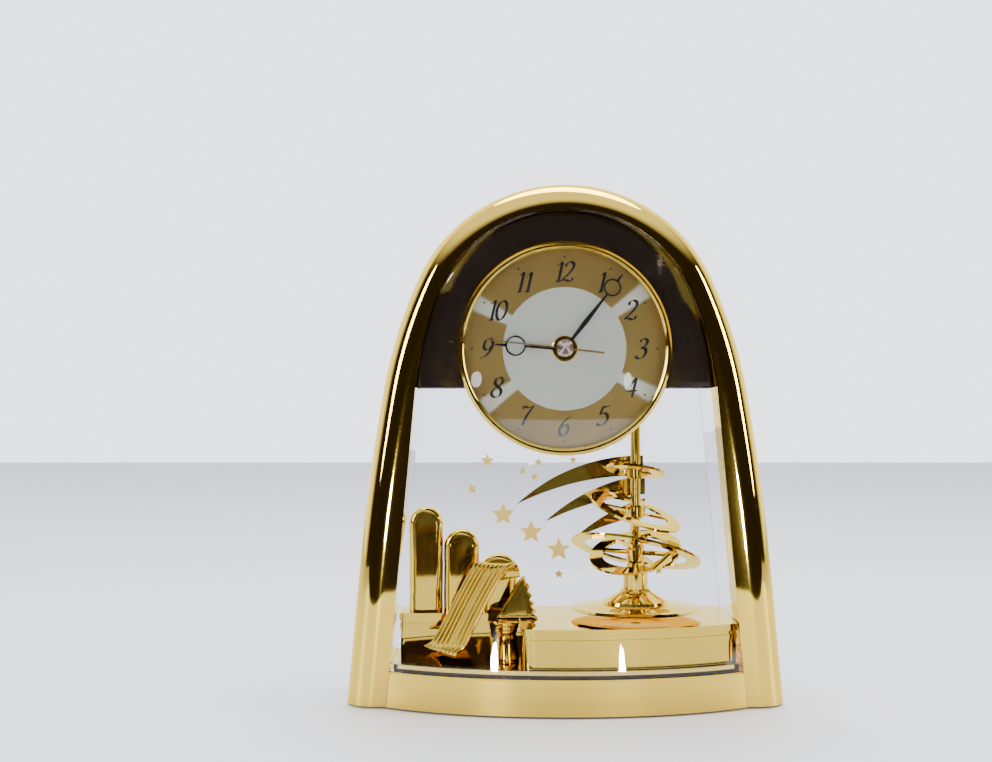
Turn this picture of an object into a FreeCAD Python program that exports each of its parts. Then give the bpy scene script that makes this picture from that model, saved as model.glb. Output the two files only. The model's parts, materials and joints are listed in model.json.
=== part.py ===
import FreeCAD, Part

# A table clock with a revolving pendulum, in millimetres.
# X runs to the right, Y runs to the back and Z runs up; the clock stands on z = 0 and its
# footprint is centred on the origin. The arch, the bowed clear cover and the plinth make a
# showcase; the dial fills the top of the arch and the pendulum turns on a vertical axis.
import math
import os

import Sketcher
from FreeCAD import Placement, Rotation, Vector

os.makedirs("parts", exist_ok=True)
doc = FreeCAD.newDocument("PendulumClock")

# ------------------------------------------------------------------ driving sizes

SIZES = {
    # overall
    "dial_height": 180.0,
    "half_depth": 49.0,
    # plinth
    "plinth_height": 18.6,
    "plinth_rear_half_width": 104.0,
    "bow_half_width": 120.0,
    "bow_depth": 71.0,
    "plinth_wall": 2.5,
    "plinth_gap": 1.0,
    "foot_radius": 7.0,
    "foot_inset": 16.0,
    "screw_radius": 1.5,
    "screw_head_radius": 2.9,
    "screw_length": 9.0,
    # arch
    "crown_rise": 1.6,
    "crown_radius": 82.0,
    "shoulder_angle": 24.5,
    "shoulder_radius": 236.0,
    "flank_angle": 10.0,
    "flank_radius": 1080.0,
    "leg_slope": 5.2,
    "arch_front": 24.0,
    "arch_round": 14.0,
    "arch_wall": 2.0,
    "arch_back_thickness": 1.6,
    "mouth_crown_radius": 70.0,
    "mouth_shoulder_angle": 20.0,
    "mouth_shoulder_radius": 171.0,
    "mouth_leg_slope": 5.2,
    # clear parts
    "cover_wall": 2.0,
    "cover_lean": 6.06,
    "cover_inset": 1.2,
    "flange_height": 3.8,
    "flange_width": 6.9,
    "housing_wall": 2.0,
    "housing_setback": 2.0,
    # dial
    "dial_face": 5.0,
    "dial_radius": 52.7,
    "dial_thickness": 1.0,
    "centre_disc_radius": 31.5,
    "centre_disc_thickness": 0.3,
    "surround_drop": 19.5,
    "surround_thickness": 3.0,
    "surround_stand": 1.5,
    "bezel_overhang": 1.8,
    "bezel_width": 3.7,
    "bezel_height": 7.8,
    "lens_wall": 1.6,
    "lens_rise": 5.1,
    "lens_seat": 4.6,
    # hands
    "hour_hand_length": 35.3,
    "hour_ring_centre": 25.0,
    "hour_ring_radius": 5.2,
    "minute_hand_length": 47.6,
    "minute_ring_centre": 39.3,
    "minute_ring_radius": 4.5,
    "second_hand_length": 42.4,
    "second_hand_tail": 20.2,
    "hand_thickness": 0.5,
    "hand_spacing": 1.6,
    "cap_radius": 4.4,
    "hour_angle": 273.4,
    "minute_angle": 37.9,
    "second_angle": 276.4,
    # movement
    "movement_half_width": 29.0,
    "movement_front": 1.0,
    "movement_depth": 15.5,
    "movement_wall": 1.5,
    "post_radius": 4.0,
    "seconds_shaft_radius": 0.5,
    "minute_tube_radius": 1.2,
    "hour_tube_radius": 2.0,
    "running_clearance": 0.06,
    "part_gap": 0.3,
    "minute_module": 0.5,
    "minute_arbor_angle": 225.0,
    "third_module": 0.32,
    "third_arbor_angle": 45.0,
    "step_module": 0.5,
    "step_arbor_angle": 135.0,
    "rotor_module": 0.35,
    # upper housing and its fittings
    "housing_drop": 20.0,
    "rear_plate": 2.0,
    "knob_radius": 9.0,
    "battery_radius": 7.1,
    "battery_length": 50.5,
    "battery_rise": 44.0,
    "battery_cover_gap": 3.5,
    "door_thickness": 1.8,
    "switch_travel": 4.0,
    # stage
    "stage_top": 41.8,
    "stage_inset": 8.4,
    "stage_left_end": -22.0,
    "stage_step_depth": 66.0,
    "stage_corner": 7.0,
    "stage_floor_top": 21.8,
    "stage_wall": 2.0,
    "stage_bead": 0.7,
    # ornaments
    "pillar_depth": 9.0,
    "pillar_setback": 13.0,
    "pillar_round": 4.0,
    "relief": 0.7,
    # pendulum
    "pendulum_right": 37.4,
    "pendulum_clearance": 1.5,
    "rod_radius": 2.55,
    "spindle_radius": 1.5,
    "hub_radius": 4.55,
    "column_radius": 6.25,
    "disc_radius": 33.6,
    "disc_rise": 3.7,
    "ring_thickness": 1.3,
    "ring_width": 6.8,
    "spoke_width": 2.8,
    "pendulum_module": 0.35,
}

sheet = doc.addObject("Spreadsheet::Sheet", "dims")
for row, (alias, number) in enumerate(SIZES.items(), start=1):
    sheet.set("A%d" % row, alias)
    sheet.set("B%d" % row, str(number))
    sheet.setAlias("B%d" % row, alias)
doc.recompute()


class Size:
    """A number together with the sheet formula that gives it, so that a sum can be bound."""

    def __init__(self, value, formula):
        self.value = value
        self.formula = formula

    def __float__(self):
        return self.value

    def __neg__(self):
        return Size(-self.value, "-(%s)" % self.formula)

    def __add__(self, other):
        return Size(self.value + float(other), "(%s + %s)" % (self.formula, formula_of(other)))

    def __sub__(self, other):
        return Size(self.value - float(other), "(%s - %s)" % (self.formula, formula_of(other)))

    def __mul__(self, other):
        return Size(self.value * float(other), "(%s * %s)" % (self.formula, formula_of(other)))

    def __truediv__(self, other):
        return Size(self.value / float(other), "(%s / %s)" % (self.formula, formula_of(other)))

    __radd__ = __add__
    __rmul__ = __mul__

    def __rsub__(self, other):
        return -(self - other)


def formula_of(thing):
    return thing.formula if isinstance(thing, Size) else repr(float(thing))


class Dimensions:
    """dims.alias gives the Size in the sheet's cell of that alias."""

    def __getattr__(self, alias):
        return Size(float(sheet.get(alias)), "dims." + alias)


dims = Dimensions()
subparts = []

# ------------------------------------------------------------------ small makers


def keep(thing, label):
    """Name an object as one of the clock's sub-parts."""
    thing.Label = label
    subparts.append(thing)
    return thing


def bind(thing, **sizes):
    """Set properties and tie each one to its formula."""
    for name, size in sizes.items():
        setattr(thing, name, float(size))
        if isinstance(size, Size):
            thing.setExpression(name, size.formula)
    return thing


FORWARD = Rotation(Vector(1, 0, 0), 90)  # turns an axis along +Z to point to the front, -Y
SIDEWAYS = Rotation(Vector(0, 1, 0), 90)  # turns an axis along +Z to point along +X
UPRIGHT = Rotation()


def place(thing, right, back, up, turn=UPRIGHT):
    """Put an object's own origin at a point, tying each coordinate that has a formula."""
    thing.Placement = Placement(Vector(float(right), float(back), float(up)), turn)
    for name, size in zip("xyz", (right, back, up)):
        if isinstance(size, Size):
            thing.setExpression("Placement.Base." + name, size.formula)
    return thing


def box(low, high):
    """A block between two corners."""
    block = doc.addObject("Part::Box", "Block")
    length, width, height = (Size(float(b), formula_of(b)) - a for a, b in zip(low, high))
    bind(block, Length=length, Width=width, Height=height)
    return place(block, *low)


def cylinder(radius, length, right, back, up, turn=UPRIGHT):
    """A round bar that starts at a point and runs up, or forward or sideways when turned."""
    bar = bind(doc.addObject("Part::Cylinder", "Bar"), Radius=radius, Height=length)
    return place(bar, right, back, up, turn)


def fuse(*pieces):
    joined = doc.addObject("Part::MultiFuse", "Joined")
    joined.Shapes = list(pieces)
    return joined


def cut(base, *tools):
    result = doc.addObject("Part::Cut", "Cut")
    result.Base = base
    result.Tool = tools[0] if len(tools) == 1 else fuse(*tools)
    return result


def group(*pieces):
    """Separate solids of one kind that share a node."""
    bundle = doc.addObject("Part::Compound", "Group")
    bundle.Links = list(pieces)
    return bundle


def solid(shape):
    """An object for a shape that is worked out from the sheet's values."""
    thing = doc.addObject("Part::Feature", "Formed")
    thing.Shape = shape
    return thing


def turned(outline, right, back, up, turn=UPRIGHT):
    """A lathe-turned body: a closed outline of (radius, height) points revolved once."""
    body = doc.addObject("PartDesign::Body", "Turned")
    sketch = body.newObject("Sketcher::SketchObject", "TurnedOutline")
    for feature in body.Origin.OriginFeatures:
        if feature.Role == "XZ_Plane":
            sketch.AttachmentSupport = [(feature, "")]
    sketch.MapMode = "FlatFace"
    spots = [Vector(float(radius), float(height), 0) for radius, height in outline]
    for spot, after in zip(spots, spots[1:] + spots[:1]):
        sketch.addGeometry(Part.LineSegment(spot, after))
    for side, (radius, height) in enumerate(outline):
        following = (side + 1) % len(outline)
        sketch.addConstraint(Sketcher.Constraint("Coincident", side, 2, following, 1))
        for kind, size in (("DistanceX", radius), ("DistanceY", height)):
            number = sketch.addConstraint(Sketcher.Constraint(kind, -1, 1, side, 1, float(size)))
            if isinstance(size, Size):
                sketch.setExpression("Constraints[%d]" % number, size.formula)
    revolution = body.newObject("PartDesign::Revolution", "TurnedForm")
    revolution.Profile = sketch
    revolution.ReferenceAxis = (sketch, ["V_Axis"])
    revolution.Angle = 360.0
    return place(body, right, back, up, turn)


def washer(outer, inner, thickness, right, back, up, turn=UPRIGHT):
    return turned([(inner, 0), (outer, 0), (outer, thickness), (inner, thickness)],
                  right, back, up, turn)


# ------------------------------------------------------------------ outlines

FAR = 400.0


def outer_line():
    """The arch's outside from its top down: each tangent arc's radius and end angle."""
    arcs = [(dims.crown_radius, dims.shoulder_angle), (dims.shoulder_radius, dims.flank_angle),
            (dims.flank_radius, dims.leg_slope)]
    return float(dims.crown_rise), [(float(radius), float(end)) for radius, end in arcs]


def mouth_line():
    """The arch's opening, as outer_line gives its outside."""
    arcs = [(dims.mouth_crown_radius, dims.mouth_shoulder_angle),
            (dims.mouth_shoulder_radius, dims.mouth_leg_slope)]
    return 0.0, [(float(radius), float(end)) for radius, end in arcs]


def right_half(outline, grow):
    """The right half of an outline, grown outward: start, middle and end of each arc."""
    rise, arcs = outline
    centre = Vector(0, 0, float(dims.dial_height) + rise)
    angle = math.radians(90)
    last_radius = arcs[0][0]
    stretches = []
    for radius, end in arcs:
        centre = centre - Vector(math.cos(angle), 0, math.sin(angle)) * (radius - last_radius)
        end_angle = math.radians(end)
        turns = (angle, (angle + end_angle) / 2, end_angle)
        stretches.append([centre + Vector(math.cos(turn), 0, math.sin(turn)) * (radius + grow)
                          for turn in turns])
        angle = end_angle
        last_radius = radius
    return stretches


def half_width(outline, grow, height):
    """How far from the middle the straight leg stands at a height."""
    leg_top = right_half(outline, grow)[-1][-1]
    slope = math.tan(math.radians(outline[1][-1][1]))
    return leg_top.x + (leg_top.z - height) * slope


def arch_face(outline, grow, bottom):
    """An arch-shaped face in the XZ plane that ends at a height."""
    right = right_half(outline, grow)
    foot = Vector(half_width(outline, grow, float(bottom)), 0, float(bottom))

    def mirrored(spot):
        return Vector(-spot.x, 0, spot.z)

    edges = [Part.LineSegment(right[-1][-1], foot).toShape(),
             Part.LineSegment(foot, mirrored(foot)).toShape(),
             Part.LineSegment(mirrored(foot), mirrored(right[-1][-1])).toShape()]
    for start, middle, end in right:
        edges.append(Part.Arc(start, middle, end).toShape())
        edges.append(Part.Arc(mirrored(start), mirrored(middle), mirrored(end)).toShape())
    return Part.Face(Part.Wire(Part.__sortEdges__(edges)))


def between(face, front, back):
    """A face in the XZ plane, drawn out from one depth to another."""
    moved = face.copy()
    moved.translate(Vector(0, float(front), 0))
    return moved.extrude(Vector(0, float(back) - float(front), 0))


def outer_arch(grow, bottom, front, back):
    return between(arch_face(outer_line(), grow, bottom), front, back)


def arch_mouth(grow, bottom, front, back):
    return between(arch_face(mouth_line(), grow, bottom), front, back)


def housing_back():
    """The depth of the rear housing's back, a little inside the plinth's."""
    return float(dims.half_depth) - float(dims.housing_setback)


def housing_floor():
    return float(dims.dial_height) - float(dims.housing_drop)


def battery_height():
    return float(dims.dial_height) + float(dims.battery_rise)


def bow_centre():
    """How far back the centre of the plinth's bowed front lies."""
    return float(dims.bow_depth) - float(dims.half_depth)


def bow_front(right, inset):
    """The depth of the bow's line, inset, at a distance to the right of the middle."""
    half_width = float(dims.bow_half_width) - inset
    depth = float(dims.bow_depth) - inset
    return bow_centre() - depth * math.sqrt(1 - (right / half_width) ** 2)


def bow_arc(left, right, inset, height):
    """The bow's elliptical edge between two distances from the middle, at a height."""
    half_width = float(dims.bow_half_width) - inset
    depth = float(dims.bow_depth) - inset
    ellipse = Part.Ellipse(Vector(0, bow_centre(), height), half_width, depth)
    # measured from +X, the front of the bow lies between half a turn and a whole one
    start = math.pi + math.acos(-left / half_width)
    end = math.pi + math.acos(-right / half_width)
    return Part.ArcOfEllipse(ellipse, start, end).toShape()


def plate(edges, height, top):
    """A closed outline at a height, drawn up to a top."""
    face = Part.Face(Part.Wire(Part.__sortEdges__(edges)))
    return face.extrude(Vector(0, 0, float(top) - float(height)))


def line(start, end):
    return Part.LineSegment(Vector(*start), Vector(*end)).toShape()


def block(low, high):
    """A plain block as a shape, for trimming."""
    low = [float(number) for number in low]
    high = [float(number) for number in high]
    sizes = [b - a for a, b in zip(low, high)]
    return Part.makeBox(*sizes, Vector(*low))


def edges_at(shape, test):
    return [edge for edge in shape.Edges if test(edge.BoundBox)]


# ------------------------------------------------------------------ plinth


def plinth_plan(inset, height, top):
    """The plinth's plan: a bowed front between the arch's legs and a wider rear part."""
    up = float(height)
    gap = float(dims.part_gap)
    wide = float(dims.plinth_rear_half_width) - inset
    front = gap + inset
    back = float(dims.half_depth) - inset
    corner = 6.0
    overlap = front + 1.0
    bow = [bow_arc(-wide, wide, inset, up),
           line((wide, bow_front(wide, inset), up), (wide, overlap, up)),
           line((wide, overlap, up), (-wide, overlap, up)),
           line((-wide, overlap, up), (-wide, bow_front(wide, inset), up))]
    rear = [line((-wide, front, up), (wide, front, up)), line((wide, front, up), (wide, back - corner, up)),
            line((wide, back - corner, up), (wide - corner, back, up)),
            line((wide - corner, back, up), (corner - wide, back, up)),
            line((corner - wide, back, up), (-wide, back - corner, up)),
            line((-wide, back - corner, up), (-wide, front, up))]
    nose = plate(bow, up, top).common(arch_mouth(-gap - inset, -FAR, -FAR, FAR))
    return nose.fuse(plate(rear, up, top)).removeSplitter()


def foot_spots():
    """The four feet, well inside the plinth's corners."""
    inset = float(dims.foot_inset)
    side = float(dims.plinth_rear_half_width) - inset
    front_side = half_width(mouth_line(), 0, 0) - inset
    back = float(dims.half_depth) - inset
    front = bow_front(front_side, 0) + inset
    return [(-front_side, front), (front_side, front), (-side, back), (side, back)]


def screw_spots():
    """The base plate's screws stand inboard of the feet."""
    return [(right * 0.7, back) for right, back in foot_spots()]


def make_plinth():
    top = float(dims.plinth_height)
    wall = float(dims.plinth_wall)
    gap = float(dims.plinth_gap)
    shell = plinth_plan(0, gap, top)
    rim = edges_at(shell, lambda b: b.ZMin > top - 0.01 and b.YMin < -0.9 * float(dims.half_depth))
    shell = shell.makeChamfer(0.8, rim)
    shell = shell.cut(plinth_plan(wall, gap, top - wall))
    for right, back in screw_spots():
        start = Vector(right, back, gap + wall + float(dims.part_gap))
        shell = shell.fuse(Part.makeCylinder(4.0, top - wall - start.z + 0.5, start))
        hole = float(dims.screw_radius) + float(dims.running_clearance)
        shell = shell.cut(Part.makeCylinder(hole, float(dims.screw_length), start))
    keep(solid(shell.removeSplitter()), "base_plinth")

    lower = gap + 0.4
    upper = gap + wall
    tray = plinth_plan(wall + float(dims.part_gap), lower, upper)
    for right, back in screw_spots():
        through = Vector(right, back, lower)
        shank = float(dims.screw_radius) + 0.3
        head = float(dims.screw_head_radius) + 0.3
        tray = tray.cut(Part.makeCylinder(shank, wall, through))
        tray = tray.cut(Part.makeCylinder(head, 1.1, through))
    keep(solid(tray), "base_plate")

    feet = []
    for right, back in foot_spots():
        outline = [(0, 0), (dims.foot_radius - 0.5, 0), (dims.foot_radius, 0.5),
                   (dims.foot_radius, lower), (0, lower)]
        feet.append(turned(outline, right, back, 0))
    keep(group(*feet), "base_feet")

    screws = []
    for right, back in screw_spots():
        outline = [(0, 0.1), (dims.screw_head_radius, 0.1), (dims.screw_head_radius, 1.0),
                   (dims.screw_radius, 1.0), (dims.screw_radius, dims.screw_length),
                   (0, dims.screw_length)]
        screws.append(turned(outline, right, back, lower))
    keep(group(*screws), "base_screws")


# ------------------------------------------------------------------ arch and clear parts


def make_arch():
    """A hollow moulding: its outer flank is rounded and its crest stands at the mouth."""
    foot = float(dims.plinth_gap)
    front = -float(dims.arch_front)
    wall = float(dims.arch_wall)
    body = outer_arch(0, foot, front, 0)
    rim = edges_at(body, lambda b: b.YMax < front + 0.01 and not b.ZMax < foot + 0.01)
    body = body.makeFillet(float(dims.arch_round), rim)
    body = body.cut(arch_mouth(0, foot - 20, front - 1, 1))
    core = outer_arch(-wall, foot + wall, front + wall, 1)
    rim = edges_at(core, lambda b: b.YMax < front + wall + 0.01 and not b.ZMax < foot + wall + 0.01)
    core = core.makeFillet(float(dims.arch_round) - wall, rim)
    core = core.cut(arch_mouth(wall, foot - 20, front, 2))
    keep(solid(body.cut(core)), "arch_frame")

    # a flat ring closes the moulding's open back
    seat = float(dims.running_clearance)
    closing = outer_arch(-wall - seat, foot + wall + seat, -float(dims.arch_back_thickness), 0)
    keep(solid(closing.cut(arch_mouth(wall + seat, foot - 20, front, 2))), "arch_back")


def cover_shell(inset, wall, bottom, height):
    """A wall on the bow's ellipse that leans back as it rises."""
    lean = math.tan(math.radians(float(dims.cover_lean)))
    prisms = []
    for depth in (inset, inset + wall):
        half_width = float(dims.bow_half_width) - depth
        ellipse = Part.Ellipse(Vector(0, bow_centre(), bottom), half_width,
                               float(dims.bow_depth) - depth)
        face = Part.Face(Part.Wire([ellipse.toShape()]))
        prisms.append(face.extrude(Vector(0, lean * height, height)))
    return prisms[0].cut(prisms[1])


def make_front_cover():
    bottom = float(dims.plinth_height) + float(dims.part_gap)
    top = float(dims.plinth_height) + float(dims.flange_height)
    inset = float(dims.cover_inset)
    sheet_wall = cover_shell(inset, float(dims.cover_wall), top - 0.5, FAR)
    flange = plate([Part.Ellipse(Vector(0, bow_centre(), bottom),
                                 float(dims.bow_half_width) - inset,
                                 float(dims.bow_depth) - inset).toShape()], bottom, top)
    inner = inset + float(dims.flange_width)
    flange = flange.cut(plate([Part.Ellipse(Vector(0, bow_centre(), bottom),
                                            float(dims.bow_half_width) - inner,
                                            float(dims.bow_depth) - inner).toShape()],
                              bottom, top))
    trim = arch_mouth(-float(dims.part_gap), bottom - 5, -FAR, -1)
    cover = sheet_wall.fuse(flange).common(trim)
    keep(solid(cover.removeSplitter()), "front_cover")


def make_rear_housing():
    """Clear side walls and back panel below the movement."""
    foot = float(dims.plinth_height) + float(dims.part_gap)
    front = float(dims.part_gap)
    back = housing_back()
    wall = float(dims.housing_wall)
    shell = arch_mouth(wall, foot, front, back).cut(arch_mouth(0, foot - 10, front - 1, back - wall))
    ceiling = housing_floor() - float(dims.part_gap)
    shell = shell.common(block((-FAR, -FAR, -FAR), (FAR, FAR, ceiling)))
    keep(solid(shell), "rear_housing")


# ------------------------------------------------------------------ dial


def make_dial():
    face = -dims.dial_face
    height = dims.dial_height
    hole = dims.post_radius + 0.3
    keep(washer(dims.dial_radius, hole, dims.dial_thickness,
                0, face + dims.dial_thickness, height, FORWARD), "dial_plate")
    keep(washer(dims.centre_disc_radius, hole, dims.centre_disc_thickness,
                0, face, height, FORWARD), "dial_centre")

    outside = dims.dial_radius + dims.bezel_overhang
    inside = outside - dims.bezel_width
    seat = dims.lens_seat - 0.1
    lip = dims.lens_seat + dims.lens_wall + 0.4
    lens_gap = dims.dial_radius - 0.8
    outline = [(inside, 0.1), (outside, 0.1), (outside, dims.bezel_height - 1.4),
               (outside - 0.5, dims.bezel_height - 0.5), (outside - 1.5, dims.bezel_height),
               (outside - 2.5, dims.bezel_height - 0.1), (inside + 0.3, dims.bezel_height - 0.8),
               (inside, lip), (lens_gap, lip), (lens_gap, seat), (inside, seat)]
    keep(turned(outline, 0, face, height, FORWARD), "bezel_ring")

    edge = float(lens_gap) - 0.2
    low = float(dims.lens_seat)
    high = low + float(dims.lens_wall)
    rise = float(dims.lens_rise)
    sphere = (edge * edge + rise * rise) / (2 * rise)
    half_drop = sphere - math.sqrt(sphere * sphere - edge * edge / 4)

    def dome(base):
        """The lens's profile line from its middle to its edge."""
        crest = Vector(0, 0, base + rise)
        waist = Vector(edge / 2, 0, base + rise - half_drop)
        return Part.Arc(crest, waist, Vector(edge, 0, base)).toShape()

    outline = [dome(low), dome(high), line((edge, 0, low), (edge, 0, high)),
               line((0, 0, low + rise), (0, 0, high + rise))]
    profile = Part.Face(Part.Wire(Part.__sortEdges__(outline)))
    thing = solid(profile.revolve(Vector(0, 0, 0), Vector(0, 0, 1), 360))
    place(thing, 0, face, height, FORWARD)
    keep(thing, "dial_lens")

    # the surround fills the arch's mouth round the bezel and carries the dial in a shallow cup
    gap = float(dims.part_gap)
    stand = float(dims.surround_stand)
    front = float(face) - stand
    pocket = float(dims.dial_radius) + gap
    cup = float(outside) - gap
    up = float(height)
    skirt = arch_mouth(-gap, 0, front, front + float(dims.surround_thickness))
    low = float(dims.dial_height) - float(dims.surround_drop)
    skirt = skirt.common(block((-FAR, -FAR, low), (FAR, FAR, FAR)))

    def drum(radius, start, end):
        return Part.makeCylinder(radius, end - start, Vector(0, start, up), Vector(0, 1, 0))

    floor_front = float(face) + float(dims.dial_thickness)
    floor_back = floor_front + 1.5
    surround = skirt.cut(drum(float(outside) + gap, front - 1, float(face)))
    surround = surround.fuse(drum(cup, float(face), floor_back))
    surround = surround.cut(drum(pocket, front - 1, floor_front))
    surround = surround.cut(drum(float(hole), floor_front - 1, floor_back + 1))
    # a round groove follows the bezel
    groove = drum(float(outside) + 4.0, front - 1, front + 0.6)
    groove = groove.cut(drum(float(outside) + 3.0, front - 2, front + 2))
    keep(solid(surround.cut(groove).removeSplitter()), "dial_surround")


# ------------------------------------------------------------------ movement


def toothed(teeth, module, thickness, phase):
    """A spur wheel about its own +Z axis with one tooth centred on the phase angle."""
    pitch = module * teeth / 2
    root = pitch - 1.1 * module
    tip = pitch + 0.75 * module
    step = 360.0 / teeth
    spots = []
    for tooth in range(teeth):
        middle = phase + tooth * step
        for radius, share in ((root, -0.24), (tip, -0.1), (tip, 0.1), (root, 0.24)):
            angle = math.radians(middle + share * step)
            spots.append(Vector(radius * math.cos(angle), radius * math.sin(angle), 0))
    spots.append(spots[0])
    return Part.Face(Part.makePolygon(spots)).extrude(Vector(0, 0, thickness))


def bar(radius, start, end):
    """A round bar about the wheel's own axis."""
    return Part.makeCylinder(radius, end - start, Vector(0, 0, start))


def arbor_spot(distance, angle, origin=(0.0, 0.0)):
    """A point in the movement, from the dial's centre or another arbor."""
    turn = math.radians(float(angle))
    return (origin[0] + distance * math.cos(turn), origin[1] + distance * math.sin(turn))


CANNON_TEETH = 12
MINUTE_WHEEL_TEETH = 36
MINUTE_PINION_TEETH = 10
HOUR_WHEEL_TEETH = 40
CENTRE_WHEEL_TEETH = 64
THIRD_PINION_TEETH = 8
THIRD_WHEEL_TEETH = 60
SECONDS_PINION_TEETH = 8
SECONDS_WHEEL_TEETH = 30
STEP_PINION_TEETH = 6
STEP_WHEEL_TEETH = 36
ROTOR_PINION_TEETH = 6

minute_distance = float(dims.minute_module) * (CANNON_TEETH + MINUTE_WHEEL_TEETH) / 2
hour_module = 2 * minute_distance / (MINUTE_PINION_TEETH + HOUR_WHEEL_TEETH)
third_distance = float(dims.third_module) * (CENTRE_WHEEL_TEETH + THIRD_PINION_TEETH) / 2
seconds_module = 2 * third_distance / (THIRD_WHEEL_TEETH + SECONDS_PINION_TEETH)
step_distance = float(dims.step_module) * (SECONDS_WHEEL_TEETH + STEP_PINION_TEETH) / 2
rotor_distance = float(dims.rotor_module) * (STEP_WHEEL_TEETH + ROTOR_PINION_TEETH) / 2

minute_spot = arbor_spot(minute_distance, dims.minute_arbor_angle)
third_spot = arbor_spot(third_distance, dims.third_arbor_angle)
step_spot = arbor_spot(step_distance, dims.step_arbor_angle)
rotor_spot = arbor_spot(rotor_distance, dims.step_arbor_angle, step_spot)

MINUTE_ARBOR = 0.7
THIRD_ARBOR = 0.6
STEP_STUD = 0.5


def facing(angle, teeth):
    """The phase of a wheel whose gap, not its tooth, points along the angle."""
    return float(angle) + 180.0 / teeth


def wheel(shape, spot, label):
    """Stand a wheel in the movement: its own +Z points forward and its z = 0 is y = 0."""
    thing = solid(shape)
    place(thing, spot[0], 0, dims.dial_height + spot[1], FORWARD)
    return keep(thing, label)


def make_movement_case():
    height = float(dims.dial_height)
    half = float(dims.movement_half_width)
    wall = float(dims.movement_wall)
    front = float(dims.movement_front)
    back = front + float(dims.movement_depth)
    clearance = float(dims.running_clearance)
    forward = Vector(0, -1, 0)
    case = block((-half, front, height - half), (half, back, height + half))
    case = case.cut(block((wall - half, front + wall, height - half + wall),
                          (half - wall, back + 1, height + half - wall)))
    post_end = -float(dims.dial_face) - 1.5
    centre = Vector(0, front + 1, height)
    case = case.fuse(Part.makeCylinder(float(dims.post_radius), centre.y - post_end, centre, forward))
    bore = float(dims.hour_tube_radius) + clearance
    case = case.cut(Part.makeCylinder(bore, FAR, Vector(0, FAR / 2, height), forward))
    pivot_depth = front + 0.7
    for radius, spot in ((MINUTE_ARBOR, minute_spot), (THIRD_ARBOR, third_spot)):
        start = Vector(spot[0], back, height + spot[1])
        case = case.cut(Part.makeCylinder(radius + clearance, back - pivot_depth, start, forward))
    keep(solid(case), "movement_case")

    # the lid holds the rear pivots and two fixed studs for the step wheel and the rotor
    lid_front = back + 0.2
    lid_back = lid_front + wall
    lid = block((-half, lid_front, height - half), (half, lid_back, height + half))
    for radius, spot in ((float(dims.seconds_shaft_radius), (0, 0)), (THIRD_ARBOR, third_spot)):
        start = Vector(spot[0], lid_front + 0.9, height + spot[1])
        lid = lid.cut(Part.makeCylinder(radius + clearance, 2, start, forward))
    start = Vector(minute_spot[0], lid_back + 1, height + minute_spot[1])
    lid = lid.cut(Part.makeCylinder(MINUTE_ARBOR + clearance, 5, start, forward))
    for spot, length in ((step_spot, 6.4), (rotor_spot, 4.6)):
        start = Vector(spot[0], lid_front + 0.5, height + spot[1])
        lid = lid.fuse(Part.makeCylinder(STEP_STUD, length, start, forward))
    keep(solid(lid), "movement_lid")

    nut_hole = dims.post_radius + dims.running_clearance
    nut = turned([(nut_hole, 0), (6.6, 0), (6.6, 0.8), (6.1, 1.2), (nut_hole, 1.2)],
                 0, -dims.dial_face - dims.centre_disc_thickness, dims.dial_height, FORWARD)
    keep(nut, "fixing_nut")


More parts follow.
